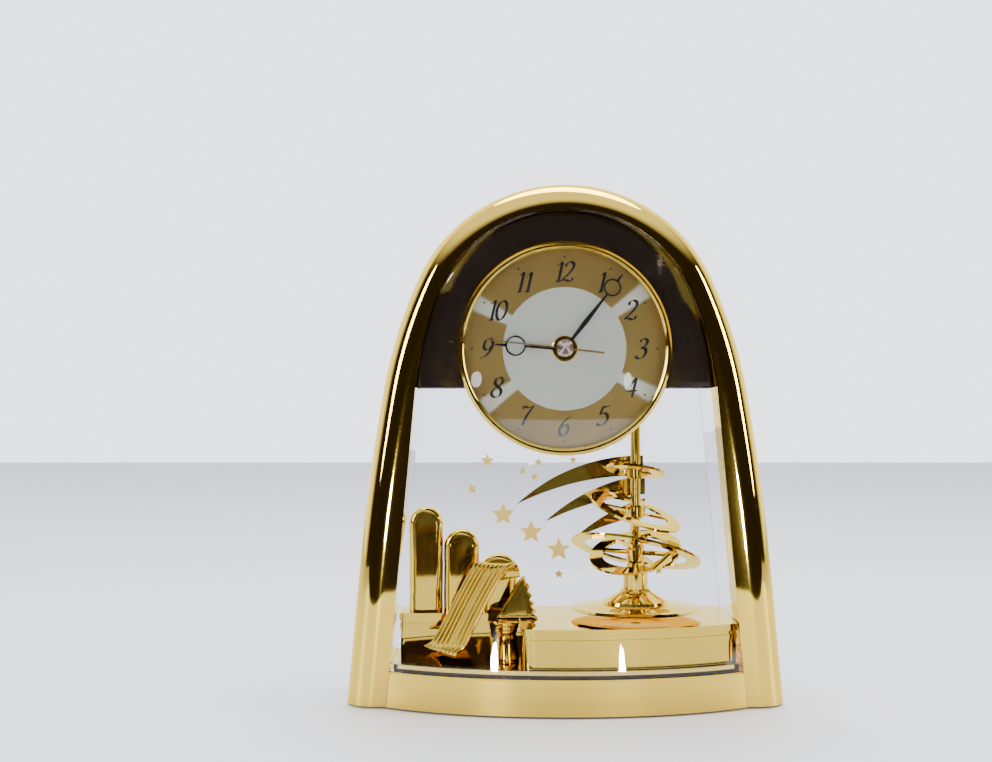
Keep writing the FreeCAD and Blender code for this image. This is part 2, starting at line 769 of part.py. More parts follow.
def make_wheels():
    """The going train and the motion work, each wheel with its arbor.

    Heights along each wheel's own axis are negative, because its +Z points forward and the
    movement lies behind y = 0.
    """
    clearance = float(dims.running_clearance)
    face = float(dims.dial_face)
    spacing = float(dims.hand_spacing)
    hand = float(dims.hand_thickness)
    minute_angle = float(dims.minute_arbor_angle)
    third_angle = float(dims.third_arbor_angle)
    step_angle = float(dims.step_arbor_angle)
    hour_tube = float(dims.hour_tube_radius)
    minute_tube = float(dims.minute_tube_radius)
    shaft = float(dims.seconds_shaft_radius)

    hour_end = face + 0.2 + spacing + hand
    minute_end = hour_end + spacing
    second_end = minute_end + spacing

    shape = toothed(HOUR_WHEEL_TEETH, hour_module, 1.0, minute_angle)
    shape.translate(Vector(0, 0, -4.0))
    shape = shape.fuse(bar(hour_tube, -3.5, hour_end))
    shape = shape.cut(bar(minute_tube + clearance, -10, 20))
    wheel(shape, (0, 0), "hour_wheel")

    shape = toothed(CANNON_TEETH, float(dims.minute_module), 1.2, minute_angle)
    shape.translate(Vector(0, 0, -5.7))
    shape = shape.fuse(bar(minute_tube, -8.6, minute_end))
    shape = shape.cut(bar(shaft + clearance, -10, 20))
    wheel(shape, (0, 0), "cannon_pinion")

    shape = toothed(MINUTE_WHEEL_TEETH, float(dims.minute_module), 1.0,
                    facing(minute_angle + 180, MINUTE_WHEEL_TEETH))
    shape.translate(Vector(0, 0, -5.6))
    pinion = toothed(MINUTE_PINION_TEETH, hour_module, 2.2,
                     facing(minute_angle + 180, MINUTE_PINION_TEETH))
    pinion.translate(Vector(0, 0, -5.0))
    shape = shape.fuse(pinion).fuse(bar(MINUTE_ARBOR, -23.0, -1.8))
    wheel(shape, minute_spot, "minute_wheel")

    shape = toothed(CENTRE_WHEEL_TEETH, float(dims.third_module), 0.8, third_angle)
    shape.translate(Vector(0, 0, -8.2))
    shape = shape.cut(bar(minute_tube + clearance, -10, 20))
    wheel(shape, (0, 0), "centre_wheel")

    shape = toothed(THIRD_WHEEL_TEETH, seconds_module, 0.8,
                    facing(third_angle + 180, THIRD_WHEEL_TEETH))
    shape.translate(Vector(0, 0, -10.0))
    pinion = toothed(THIRD_PINION_TEETH, float(dims.third_module), 2.3,
                     facing(third_angle + 180, THIRD_PINION_TEETH))
    pinion.translate(Vector(0, 0, -9.5))
    shape = shape.fuse(pinion).fuse(bar(THIRD_ARBOR, -17.5, -1.8))
    wheel(shape, third_spot, "third_wheel")

    shape = toothed(SECONDS_WHEEL_TEETH, float(dims.step_module), 0.8, step_angle)
    shape.translate(Vector(0, 0, -12.0))
    pinion = toothed(SECONDS_PINION_TEETH, seconds_module, 1.8, third_angle)
    pinion.translate(Vector(0, 0, -11.0))
    shape = shape.fuse(pinion).fuse(bar(shaft, -17.5, second_end))
    wheel(shape, (0, 0), "seconds_wheel")

    bore = bar(STEP_STUD + clearance, -20, 0)
    shape = toothed(STEP_WHEEL_TEETH, float(dims.rotor_module), 0.8, step_angle)
    shape.translate(Vector(0, 0, -13.6))
    pinion = toothed(STEP_PINION_TEETH, float(dims.step_module), 2.2,
                     facing(step_angle + 180, STEP_PINION_TEETH))
    pinion.translate(Vector(0, 0, -13.2))
    wheel(shape.fuse(pinion).cut(bore), step_spot, "step_wheel")

    shape = bar(3.0, -16.0, -14.4)
    pinion = toothed(ROTOR_PINION_TEETH, float(dims.rotor_module), 2.1,
                     facing(step_angle + 180, ROTOR_PINION_TEETH))
    pinion.translate(Vector(0, 0, -14.6))
    neck = bar(0.9, -14.6, -13.9)
    wheel(shape.fuse(pinion).fuse(neck).cut(bar(0.56, -20, 0)), rotor_spot, "rotor")
    return minute_end, second_end


def make_electrics():
    """The stepping motor's stator and coil, the circuit board and its crystal."""
    height = float(dims.dial_height)
    rotor_x = rotor_spot[0]
    rotor_z = height + rotor_spot[1]
    bars = block((rotor_x - 5.5, 14.7, rotor_z - 5.0), (rotor_x + 4.0, 15.7, height + 24.5))
    bars = bars.fuse(block((rotor_x - 5.5, 14.7, height + 20.5), (20, 15.7, height + 24.5)))
    bars = bars.cut(Part.makeCylinder(3.5, 4, Vector(rotor_x, 13, rotor_z), Vector(0, 1, 0)))
    keep(solid(bars.removeSplitter()), "stator")
    keep(cylinder(3.8, 22, -5, 10.5, dims.dial_height + 22.5, SIDEWAYS), "coil")
    keep(box((6, 13.4, dims.dial_height - 26), (26, 14.4, dims.dial_height - 12)), "circuit_board")
    keep(cylinder(1.5, 8, 10, 11.8, dims.dial_height - 18, SIDEWAYS), "crystal")


# ------------------------------------------------------------------ hands


def hand_shape(angle, stretches, rings, thickness, bore):
    """A flat hand about +Z: tapered stretches and open rings along one direction.

    Each stretch is (start, half width, end, half width); the angle is the clock's own,
    clockwise from twelve. Each ring is (centre, outer radius, inner radius).
    """
    shape = Part.makeCylinder(2.6, thickness)
    for start, start_half, end, end_half in stretches:
        spots = [(-start_half, start), (start_half, start), (end_half, end), (-end_half, end)]
        wire = Part.makePolygon([Vector(x, y, 0) for x, y in spots + spots[:1]])
        shape = shape.fuse(Part.Face(wire).extrude(Vector(0, 0, thickness)))
    for centre, outer, inner in rings:
        shape = shape.fuse(Part.makeCylinder(outer, thickness, Vector(0, centre, 0)))
        shape = shape.cut(Part.makeCylinder(inner, thickness, Vector(0, centre, 0)))
    shape = shape.cut(Part.makeCylinder(bore, thickness))
    shape.rotate(Vector(0, 0, 0), Vector(0, 0, 1), -float(angle))
    return shape.removeSplitter()


def place_hand(shape, front, label):
    thing = solid(shape)
    place(thing, 0, -front + float(dims.hand_thickness), dims.dial_height, FORWARD)
    keep(thing, label)


def make_hands(minute_end, second_end):
    thickness = float(dims.hand_thickness)
    spacing = float(dims.hand_spacing)
    band = 0.8
    seat = 0.01
    ring = float(dims.hour_ring_centre)
    outer = float(dims.hour_ring_radius)
    stretches = [(0, 1.1, ring - outer + band / 2, 0.55),
                 (ring + outer - band / 2, 0.7, float(dims.hour_hand_length), 0.35)]
    shape = hand_shape(dims.hour_angle, stretches, [(ring, outer, outer - band)], thickness,
                       float(dims.hour_tube_radius) + seat)
    place_hand(shape, minute_end - spacing, "hour_hand")

    ring = float(dims.minute_ring_centre)
    outer = float(dims.minute_ring_radius)
    inside_end = ring - outer + band / 2
    stretches = [(0, 0.5, inside_end / 2, 1.25), (inside_end / 2, 1.25, inside_end, 0.45),
                 (ring + outer - band / 2, 0.6, float(dims.minute_hand_length), 0.35)]
    shape = hand_shape(dims.minute_angle, stretches, [(ring, outer, outer - band)], thickness,
                       float(dims.minute_tube_radius) + seat)
    place_hand(shape, minute_end, "minute_hand")

    stretches = [(-float(dims.second_hand_tail), 0.55, 0, 0.45),
                 (0, 0.45, float(dims.second_hand_length), 0.25)]
    shape = hand_shape(dims.second_angle, stretches, [], thickness,
                       float(dims.seconds_shaft_radius) + seat)
    place_hand(shape, second_end, "second_hand")

    radius = dims.cap_radius
    outline = [(0, 0.02), (radius, 0.02), (radius, 0.5), (radius * 0.8, 0.9),
               (radius * 0.3, 0.7), (0, 0.6)]
    cap = turned(outline, 0, -second_end, dims.dial_height, FORWARD)
    keep(cap, "hand_cap")


# ------------------------------------------------------------------ upper housing


def make_upper_housing():
    """The opaque case behind the dial: open in front, closed behind by the rear cover."""
    front = float(dims.part_gap)
    back = housing_back() - float(dims.rear_plate)
    wall = float(dims.housing_wall)
    floor = housing_floor()
    half = float(dims.movement_half_width) + wall + float(dims.part_gap)
    low = float(dims.dial_height) - half
    pocket_back = float(dims.movement_front) + float(dims.movement_depth) + 8
    above = block((-FAR, -FAR, floor), (FAR, FAR, FAR))
    inside = block((-FAR, -FAR, floor + wall), (FAR, FAR, FAR))
    shell = arch_mouth(wall, 0, front, back).common(above)
    shell = shell.cut(arch_mouth(0, 0, front - 1, back + 1).common(inside))
    shell = shell.fuse(block((-half, front, low), (half, pocket_back, floor + wall)))
    shell = shell.cut(block((wall - half, front - 1, low + wall),
                            (half - wall, pocket_back - wall, floor + wall + 1)))
    bush = Vector(float(dims.pendulum_right), pendulum_back(), floor - 5)
    shell = shell.cut(Part.makeCylinder(4.5 + float(dims.part_gap), 20, bush))
    keep(solid(shell.removeSplitter()), "movement_housing")


def rear_screw_spots():
    height = float(dims.dial_height)
    ring = float(dims.mouth_crown_radius) - 8.0
    spots = [arbor_spot(ring, angle) for angle in (35.0, 145.0)]
    spots = [(right, height + up) for right, up in spots]
    low = housing_floor() + 8.0
    return spots + [(ring, low), (-ring, low)]


def make_rear_cover():
    front = housing_back() - float(dims.rear_plate) + 0.05
    back = housing_back()
    wall = 1.6
    cover = arch_mouth(float(dims.housing_wall), 0, front, back)
    cover = cover.common(block((-FAR, -FAR, housing_floor()), (FAR, FAR, FAR)))

    # battery bay
    half = float(dims.battery_length) / 2 + 3.0
    up = battery_height()
    tall = float(dims.battery_radius) + 1.0
    depth = back - float(dims.battery_cover_gap) - 2 * float(dims.battery_radius) - 1.0
    bay = block((-half - wall, depth - wall, up - tall - wall),
                (half + wall, front + 0.5, up + tall + wall))
    cover = cover.fuse(bay)
    cover = cover.cut(block((-half, depth, up - tall), (half, back + 1, up + tall)))
    # the door's hinge pins turn in blind holes at the bay's upper corners
    pin = Vector(-half - 2.0, door_axis()[0], door_axis()[1])
    pin_hole = 0.8 + float(dims.running_clearance)
    cover = cover.cut(Part.makeCylinder(pin_hole, 2 * half + 4.0, pin, Vector(1, 0, 0)))

    knob_hole = float(dims.knob_radius) + 1.5
    knob = Vector(minute_spot[0], front - 1, float(dims.dial_height) + minute_spot[1])
    cover = cover.cut(Part.makeCylinder(knob_hole, 6, knob, Vector(0, 1, 0)))
    slot_right, slot_up = switch_spot()
    reach = 2.5 + 0.3
    cover = cover.cut(block((slot_right - reach, front - 1, slot_up - 2.1),
                            (slot_right + reach + float(dims.switch_travel), back + 1, slot_up + 2.1)))
    for right, height in rear_screw_spots():
        start = Vector(right, front - 1, height)
        cover = cover.cut(Part.makeCylinder(float(dims.screw_radius) + 0.3, 6, start, Vector(0, 1, 0)))
        head = Vector(right, back - 1.0, height)
        cover = cover.cut(Part.makeCylinder(float(dims.screw_head_radius) + 0.3, 3, head, Vector(0, 1, 0)))
    keep(solid(cover.removeSplitter()), "rear_cover")

    screws = []
    for right, height in rear_screw_spots():
        outline = [(0, 0), (dims.screw_radius, 0), (dims.screw_radius, 7.1),
                   (dims.screw_head_radius, 7.1), (dims.screw_head_radius, 7.9), (0, 7.9)]
        turn = Rotation(Vector(1, 0, 0), -90)
        screws.append(turned(outline, right, dims.half_depth - dims.housing_setback - 8.0, height, turn))
    keep(group(*screws), "rear_screws")


def door_axis():
    """Depth and height of the battery door's hinge."""
    back = housing_back()
    top = battery_height() + float(dims.battery_radius) + 1.0
    return back - float(dims.door_thickness) / 2, top - 1.3


def switch_spot():
    return float(dims.pendulum_right) + 5.0, float(dims.dial_height) + 17.0


def make_battery_parts():
    up = dims.dial_height + dims.battery_rise
    back = dims.half_depth - dims.housing_setback - dims.battery_cover_gap - dims.battery_radius
    half = dims.battery_length / 2
    outline = [(0, 0), (dims.battery_radius, 0), (dims.battery_radius, dims.battery_length - 1),
               (2.75, dims.battery_length - 1), (2.75, dims.battery_length), (0, dims.battery_length)]
    keep(turned(outline, -half, back, up, SIDEWAYS), "battery")

    contacts = []
    for start in (-half - 2.6, half + 0.3):
        contacts.append(box((start, back - 5, up - 5), (start + 0.5, back + 5, up + 5)))
    keep(group(*contacts), "battery_contacts")

    depth, height = door_axis()
    gap = float(dims.part_gap)
    wide = float(dims.battery_length) / 2 + 3.0 - gap
    low = battery_height() - float(dims.battery_radius) - 1.0 + gap
    thick = float(dims.door_thickness)
    door = block((-wide, depth - thick / 2, low), (wide, depth + thick / 2, height))
    across = Vector(1, 0, 0)
    door = door.fuse(Part.makeCylinder(thick / 2, 2 * wide, Vector(-wide, depth, height), across))
    door = door.fuse(Part.makeCylinder(0.8, 2 * wide + 3.0, Vector(-wide - 1.5, depth, height), across))
    grip = block((-6, depth + thick / 2 - 0.4, low + 1.5), (6, depth + thick / 2 + 0.8, low + 2.5))
    keep(solid(door.fuse(grip).removeSplitter()), "battery_door")


def make_controls():
    """The time-setting knob on the minute arbor, and the pendulum's switch."""
    start = 19.4
    flutes = 24
    radius = float(dims.knob_radius)
    head_front = housing_back() - 5.0
    head_back = housing_back() + 1.4
    shape = Part.makeCylinder(2.2, head_front - start + 0.5, Vector(0, 0, start))
    head = Part.makeCylinder(radius, head_back - head_front, Vector(0, 0, head_front))
    for flute in range(flutes):
        angle = 2 * math.pi * flute / flutes
        spot = Vector((radius + 0.25) * math.cos(angle), (radius + 0.25) * math.sin(angle), head_front)
        head = head.cut(Part.makeCylinder(0.7, head_back - head_front, spot))
    shape = shape.fuse(head)
    shape = shape.cut(Part.makeCylinder(MINUTE_ARBOR + 0.02, 4.0, Vector(0, 0, start)))
    knob = solid(shape)
    place(knob, minute_spot[0], 0, dims.dial_height + minute_spot[1], Rotation(Vector(1, 0, 0), -90))
    keep(knob, "time_set_knob")

    right, up = switch_spot()
    inner = housing_back() - float(dims.rear_plate)
    slider = block((right - 2.5, inner - 1.7, up - 1.8), (right + 2.5, inner + 3.4, up + 1.8))
    slider = slider.fuse(block((right - 7.5, inner - 1.7, up - 4), (right + 7.5, inner - 0.3, up + 4)))
    keep(solid(slider.removeSplitter()), "pendulum_switch")


# ------------------------------------------------------------------ pendulum

RINGS = [
    # label, height over the disc's rim, outer radius, lean down to the right, lean up to the
    # front, heading of its spokes (degrees)
    ("pendulum_ring_1", 71.4, 15.2, 8.1, 13.0, 20.0),
    ("pendulum_ring_2", 50.1, 24.5, 19.0, -12.0, 25.0),
    ("pendulum_ring_3", 29.5, 33.8, 11.7, 16.0, 61.5),
    ("pendulum_ring_4", 29.1, 24.2, -9.5, -20.0, 151.5),
]
HUBS = [(67.5, 74.6), (46.8, 53.6), (23.9, 34.5)]
PENDULUM_GEAR_TEETH = 40
PENDULUM_PINION_TEETH = 10


def pendulum_depth():
    """The pendulum's axis stands as far back as its widest ring or disc allows."""
    swing = max([float(dims.disc_radius)] + [row[2] for row in RINGS])
    reserve = dims.housing_wall + dims.relief + dims.pendulum_clearance + swing
    return dims.half_depth - dims.housing_setback - reserve


def pendulum_back():
    return float(pendulum_depth())


def make_pendulum_drive():
    right = float(dims.pendulum_right)
    back = pendulum_back()
    floor = housing_floor()
    module = float(dims.pendulum_module)
    clearance = float(dims.running_clearance)
    spindle = float(dims.spindle_radius)
    distance = module * (PENDULUM_GEAR_TEETH + PENDULUM_PINION_TEETH) / 2

    bush_hole = dims.spindle_radius + dims.running_clearance
    flange = 5.7
    bush = turned([(bush_hole, -1.6), (flange, -1.6), (flange, -0.2), (4.5, -0.2), (4.5, 3.0),
                   (bush_hole, 3.0)],
                  dims.pendulum_right, pendulum_depth(), dims.dial_height - dims.housing_drop)
    keep(bush, "pendulum_bush")

    gear = toothed(PENDULUM_GEAR_TEETH, module, 2.4, 90.0)
    gear.translate(Vector(0, 0, floor + 5.0))
    gear = gear.fuse(bar(3.0, floor + 3.1, floor + 7.4)).cut(bar(spindle + 0.01, floor, floor + 20))
    thing = solid(gear)
    place(thing, right, back, 0)
    keep(thing, "pendulum_gear")

    pinion = toothed(PENDULUM_PINION_TEETH, module, 4.0, facing(270.0, PENDULUM_PINION_TEETH))
    pinion.translate(Vector(0, 0, floor + 4.4))
    pinion = pinion.fuse(bar(0.8, floor + 4.4, floor + 15))
    thing = solid(pinion)
    place(thing, right, back + distance, 0)
    keep(thing, "pendulum_pinion")

    axis = back + distance
    table = floor + 13.0
    motor = block((right - 7.6, back - 3, table), (right + 14, axis + 8.5, table + 1.6))
    foot = floor + float(dims.housing_wall) + 0.1
    motor = motor.fuse(block((right + 9.6, back - 3, foot), (right + 14, axis + 8.5, table)))
    motor = motor.fuse(Part.makeCylinder(7.5, 15.0, Vector(right, axis, table + 1.0)))
    motor = motor.cut(Part.makeCylinder(0.8 + clearance, 4.0, Vector(right, axis, table - 1)))
    keep(solid(motor.removeSplitter()), "pendulum_motor")


def disc_rim():
    """The height of the pendulum disc's rim, clear of the stage."""
    return dims.stage_top + dims.disc_rise


def make_pendulum():
    right = dims.pendulum_right
    back = pendulum_depth()
    rim = disc_rim()
    level = float(rim)
    rod_top = housing_floor() - 2.2
    rod = dims.rod_radius
    spindle = dims.spindle_radius
    rod_low = level + 4.0
    top = housing_floor() + 10.0
    keep(turned([(0, rod_low), (rod, rod_low), (rod, rod_top), (spindle, rod_top), (spindle, top), (0, top)],
                right, back, 0), "pendulum_rod")

    bore = dims.rod_radius + 0.01
    hub = dims.hub_radius
    hubs = []
    for start, end in HUBS:
        low = level + start
        high = level + end
        hubs.append(turned([(bore, low), (hub - 0.8, low), (hub, low + 0.8), (hub, high - 0.8),
                            (hub - 0.8, high), (bore, high)], right, back, 0))
    column = dims.column_radius
    hubs.append(turned([(bore, 10.3), (column, 10.3), (column, 18.0), (column - 1, 19.0), (hub, 19.5),
                        (hub, 23.8), (bore, 23.8)], right, back, rim))
    keep(group(*hubs), "pendulum_hubs")

    edge = dims.disc_radius
    keep(turned([(bore, 0.2), (12, 0.2), (17, -0.5), (edge - 1.2, -0.6), (edge, 0), (edge - 1.2, 1.0),
                 (edge - 4, 1.0), (19, 2.6), (17.2, 2.6), (16.6, 4.2), (8.6, 8.4), (7.4, 10.2),
                 (bore, 10.2)], right, back, rim), "pendulum_disc")

    thickness = float(dims.ring_thickness)
    spoke = float(dims.spoke_width)
    for label, height, radius, lean, lift, heading in RINGS:
        opening = radius - float(dims.ring_width)
        ring = Part.makeCylinder(radius, thickness, Vector(0, 0, -thickness / 2))
        ring = ring.cut(Part.makeCylinder(opening, thickness, Vector(0, 0, -thickness / 2)))
        reach = opening + 1.0
        spokes = block((-reach, -spoke / 2, -thickness / 2), (reach, spoke / 2, thickness / 2))
        spokes.rotate(Vector(0, 0, 0), Vector(0, 0, 1), heading)
        ring = ring.fuse(spokes)
        ring.rotate(Vector(0, 0, 0), Vector(1, 0, 0), -lift)
        ring.rotate(Vector(0, 0, 0), Vector(0, 1, 0), lean)
        ring = ring.cut(Part.makeCylinder(float(hub) + 0.05, 40, Vector(0, 0, -20)))
        thing = solid(ring.removeSplitter())
        place(thing, right, back, rim + height)
        keep(thing, label)


# ------------------------------------------------------------------ stage and ornaments


def stage_half():
    """The stage's half width, which the housing's sloping sides leave at its top."""
    room = half_width(mouth_line(), 0, float(dims.stage_top))
    return room - 2 * float(dims.part_gap) - float(dims.stage_bead)


def stage_step():
    """The depth of the left part's front, measured from the bow's foremost line."""
    return float(dims.stage_step_depth) - float(dims.half_depth)


def stage_plan(grow, height, top):
    """The raised stage: a bowed right part and a left part that is set back."""
    inset = float(dims.stage_inset) - grow
    half = stage_half() + grow
    left = float(dims.stage_left_end) - grow
    back = housing_back() - float(dims.housing_wall) - float(dims.part_gap) - 1.0 + grow
    step = stage_step() - grow
    up = float(height)
    corner = float(dims.stage_corner)
    nose = bow_front(left + corner, inset)
    edges = [
        bow_arc(left + corner, half, inset, up),
        line((half, bow_front(half, inset), up), (half, back, up)),
        line((half, back, up), (-half, back, up)),
        line((-half, back, up), (-half, step, up)),
        line((-half, step, up), (left, step, up)),
        line((left, step, up), (left, nose + corner, up)),
    ]
    bend = Part.Arc(Vector(left, nose + corner, up),
                    Vector(left + corner * 0.25, nose + corner * 0.32, up),
                    Vector(left + corner, nose, up))
    edges.append(bend.toShape())
    return plate(edges, up, top)


def make_stage():
    low = float(dims.plinth_height) + float(dims.part_gap)
    floor = float(dims.stage_floor_top)
    top = float(dims.stage_top)
    wall = float(dims.stage_wall)
    bead = float(dims.stage_bead)
    half = stage_half()
    back = housing_back() - float(dims.housing_wall) - float(dims.part_gap) - 1.0
    inset = float(dims.cover_inset) + float(dims.flange_width) + float(dims.part_gap)
    floor_edges = [bow_arc(-half, half, inset, low),
                   line((half, bow_front(half, inset), low), (half, back, low)),
                   line((half, back, low), (-half, back, low)),
                   line((-half, back, low), (-half, bow_front(half, inset), low))]
    stage = plate(floor_edges, low, floor)
    stage = stage.fuse(stage_plan(0, floor - 0.5, top - 1))
    stage = stage.fuse(stage_plan(bead, top - 3.4, top))
    stage = stage.fuse(stage_plan(bead * 0.6, top - 7.6, top - 5.2))
    stage = stage.cut(stage_plan(-wall, low, top - wall))
    keep(solid(stage.removeSplitter()), "stage")


PILLARS = [
    # label, distance from the stage's left end, width, height
    ("pillar_1", 3.9, 17.8, 55.2),
    ("pillar_2", 22.3, 18.7, 43.2),
    ("pillar_3", 41.6, 19.7, 30.2),
]


def make_pillars():
    """Three arched slabs with rounded edges, side by side and stepping down."""
    base = float(dims.stage_top)
    back = housing_back() - float(dims.housing_wall) - float(dims.pillar_setback)
    for label, distance, width, tall in PILLARS:
        left = distance - stage_half()
        right = left + width
        top = base + tall
        radius = width / 2
        middle = (right + left) / 2
        spring = top - radius
        edges = [
            line((left, back, base), (left, back, spring)),
            Part.Arc(Vector(left, back, spring), Vector(middle, back, top),
                     Vector(right, back, spring)).toShape(),
            line((right, back, spring), (right, back, base)),
            line((right, back, base), (left, back, base)),
        ]
        slab = Part.Face(Part.Wire(edges)).extrude(Vector(0, -float(dims.pillar_depth), 0))
        front = back - float(dims.pillar_depth)
        rim = edges_at(slab, lambda b: b.YMax < front + 0.01 and b.ZMax > base + 0.01)
        keep(solid(slab.makeFillet(float(dims.pillar_round), rim)), label)


RIBBON_LINE = [
    # centre of the strip, from the stage's left end, from the bow's foremost line and from the
    # stage's top, with the heading of its width, from the crest down to the foot
    (-5.0, 64.0, 15.2, 12),
    (-8.5, 60.0, 23.7, 12),
    (-14.5, 52.5, 22.2, 14),
    (-22.0, 43.0, 10.2, 20),
    (-29.5, 33.5, -3.8, 24),
    (-34.5, 27.5, -13.2, 26),
    (-39.5, 22.5, -17.0, 28),
]


def make_ribbon():
    """A broad strip that rolls over a crest and runs down to a flared foot."""
    thickness = 2.4
    sections = []
    start = Vector(float(dims.stage_left_end), -float(dims.half_depth), float(dims.stage_top))
    spots = [start + Vector(*row[:3]) for row in RIBBON_LINE]
    for number, (spot, row) in enumerate(zip(spots, RIBBON_LINE)):
        before = spots[max(number - 1, 0)]
        after = spots[min(number + 1, len(spots) - 1)]
        along = (after - before).normalize()
        spread = math.radians(row[3])
        across = Vector(math.cos(spread), -math.sin(spread), 0)
        across = (across - along * across.dot(along)).normalize()
        normal = across.cross(along).normalize()
        half = 9.5 + (1.5 if number == len(spots) - 1 else 0.0)
        corners = [(-half, -1), (half, -1), (half, 1), (-half, 1)]
        wire = [spot + across * w + normal * (t * thickness / 2) for w, t in corners]
        sections.append(Part.makePolygon(wire + wire[:1]))
    keep(solid(Part.makeLoft(sections, True, False)), "ribbon")


def make_peak_and_pedestal():
    base = float(dims.stage_top)
    left = float(dims.stage_left_end)
    front = 46.0 - float(dims.half_depth)
    depth = 6.0
    spots = [(-12.5, 0.0), (8.5, 0.0), (6.5, 7.0), (4.8, 14.0), (1.7, 22.2), (-2.5, 17.2)]
    wire = Part.makePolygon([Vector(left + x, front, base + z) for x, z in spots + spots[:1]])
    keep(solid(Part.Face(wire).extrude(Vector(0, depth, 0))), "peak")

    low = float(dims.stage_floor_top)
    right = left - float(dims.stage_bead) - float(dims.part_gap)
    back = stage_step() - float(dims.stage_bead) - float(dims.part_gap)
    spots = [(right - 16.5, back), (right - 16.5, front + 3.0), (right - 12.0, front - 12.0),
             (right - 7.0, front - 18.0), (right, front - 10.0), (right, back)]
    wire = Part.makePolygon([Vector(x, y, low) for x, y in spots + spots[:1]])
    keep(solid(Part.Face(wire).extrude(Vector(0, 0, base - low))), "pedestal")


# distance to the right, height over the stage's top and width of each star
BIG_STARS = [(-31.1, 49.7, 12.6), (-15.9, 40.1, 12.6), (-1.0, 30.6, 12.6)]
SMALL_STARS = [(-39.7, 78.9, 7.4), (-48.1, 63.6, 5.9), (-0.9, 17.3, 5.0), (-20.5, 73.6, 4.6),
               (-12.1, 78.0, 4.6), (-13.8, 70.3, 4.6), (6.9, 79.4, 4.6), (53.4, 19.2, 4.6)]


def star(right, height, width):
    """A five-pointed star that stands proud of the back panel."""
    back = housing_back() - float(dims.housing_wall)
    up = float(dims.stage_top) + height
    spots = []
    for point in range(10):
        angle = math.radians(90 + 36 * point)
        radius = width / 2 / math.cos(math.radians(18)) * (1.0 if point % 2 == 0 else 0.45)
        spots.append(Vector(right + radius * math.cos(angle), back, up + radius * math.sin(angle)))
    face = Part.Face(Part.makePolygon(spots + spots[:1]))
    return face.extrude(Vector(0, -float(dims.relief), 0))


TRAIL_END = 46.0


def make_sky():
    keep(solid(Part.makeCompound([star(*row) for row in BIG_STARS + SMALL_STARS])), "stars")
    back = housing_back() - float(dims.housing_wall)
    behind_rod = block((-FAR, -FAR, -FAR), (TRAIL_END, FAR, FAR))
    trails = []
    for copy in range(3):
        shift = Vector(15.2 * copy, back, float(dims.stage_top) - 9.6 * copy)
        tip = Vector(-24.0, 0, 55.1) + shift
        upper_end = Vector(45.0, 0, 81.9) + shift
        lower_end = Vector(45.0, 0, 70.8) + shift
        upper = Part.Arc(tip, Vector(8.3, 0, 75.4) + shift, upper_end).toShape()
        lower = Part.Arc(tip, Vector(8.4, 0, 67.0) + shift, lower_end).toShape()
        end = Part.LineSegment(upper_end, lower_end).toShape()
        face = Part.Face(Part.Wire(Part.__sortEdges__([upper, lower, end])))
        trails.append(face.extrude(Vector(0, -float(dims.relief), 0)).common(behind_rod))
    keep(solid(Part.makeCompound(trails)), "comet_trails")


# ------------------------------------------------------------------ build, check, write

make_plinth()
make_arch()
make_front_cover()
make_rear_housing()
make_dial()
make_movement_case()
minute_front, second_front = make_wheels()
make_electrics()
make_hands(minute_front, second_front)
make_upper_housing()
make_rear_cover()
make_battery_parts()
make_controls()
make_pendulum_drive()
make_pendulum()
make_stage()
make_pillars()
make_ribbon()
make_peak_and_pedestal()
make_sky()

doc.recompute()

for thing in doc.Objects:
    if "Invalid" in thing.State or "Error" in thing.State:
        raise RuntimeError("%s (%s) did not build: %s" % (thing.Name, thing.Label, thing.State))
for thing in subparts:
    if thing.Shape.isNull() or not thing.Shape.isValid() or not thing.Shape.Solids:
        raise RuntimeError("%s has no valid solid" % thing.Label)

for thing in subparts:
    thing.Shape.exportStep("parts/%s.step" % thing.Label)
    bounds = thing.Shape.BoundBox
    print("%-18s solids %d  x %.1f..%.1f  y %.1f..%.1f  z %.1f..%.1f" % (
        thing.Label, len(thing.Shape.Solids), bounds.XMin, bounds.XMax,
        bounds.YMin, bounds.YMax, bounds.ZMin, bounds.ZMax))
print("%d sub-parts" % len(subparts))
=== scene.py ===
# %% [markdown]
# # A table clock with a revolving pendulum
#
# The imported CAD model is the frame: it holds every size, place and joint. This file gives the
# clock its looks. Each step says what the piece or finish is on a real clock, how it could be
# made, and why this way was chosen. Lengths are metres, and `MM` turns millimetres into them.

# %% Load the frame
import json
import math

import bmesh
import bpy
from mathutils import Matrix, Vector


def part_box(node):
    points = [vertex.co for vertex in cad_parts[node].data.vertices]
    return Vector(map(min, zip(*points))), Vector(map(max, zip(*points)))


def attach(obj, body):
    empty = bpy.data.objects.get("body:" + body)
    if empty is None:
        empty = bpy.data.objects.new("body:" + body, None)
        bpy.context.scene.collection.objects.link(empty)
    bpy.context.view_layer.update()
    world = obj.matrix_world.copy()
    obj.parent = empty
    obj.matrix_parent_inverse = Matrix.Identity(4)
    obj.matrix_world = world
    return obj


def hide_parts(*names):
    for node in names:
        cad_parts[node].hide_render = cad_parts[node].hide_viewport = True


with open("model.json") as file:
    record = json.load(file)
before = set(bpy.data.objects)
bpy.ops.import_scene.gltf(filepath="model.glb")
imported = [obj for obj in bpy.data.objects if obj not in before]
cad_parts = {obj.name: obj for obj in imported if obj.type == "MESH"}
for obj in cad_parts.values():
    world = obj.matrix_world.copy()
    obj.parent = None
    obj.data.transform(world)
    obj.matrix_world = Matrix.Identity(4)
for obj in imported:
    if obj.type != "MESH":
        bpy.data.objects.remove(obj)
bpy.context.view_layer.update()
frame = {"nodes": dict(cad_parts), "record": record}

MM = 0.001
NODES = frame["nodes"]

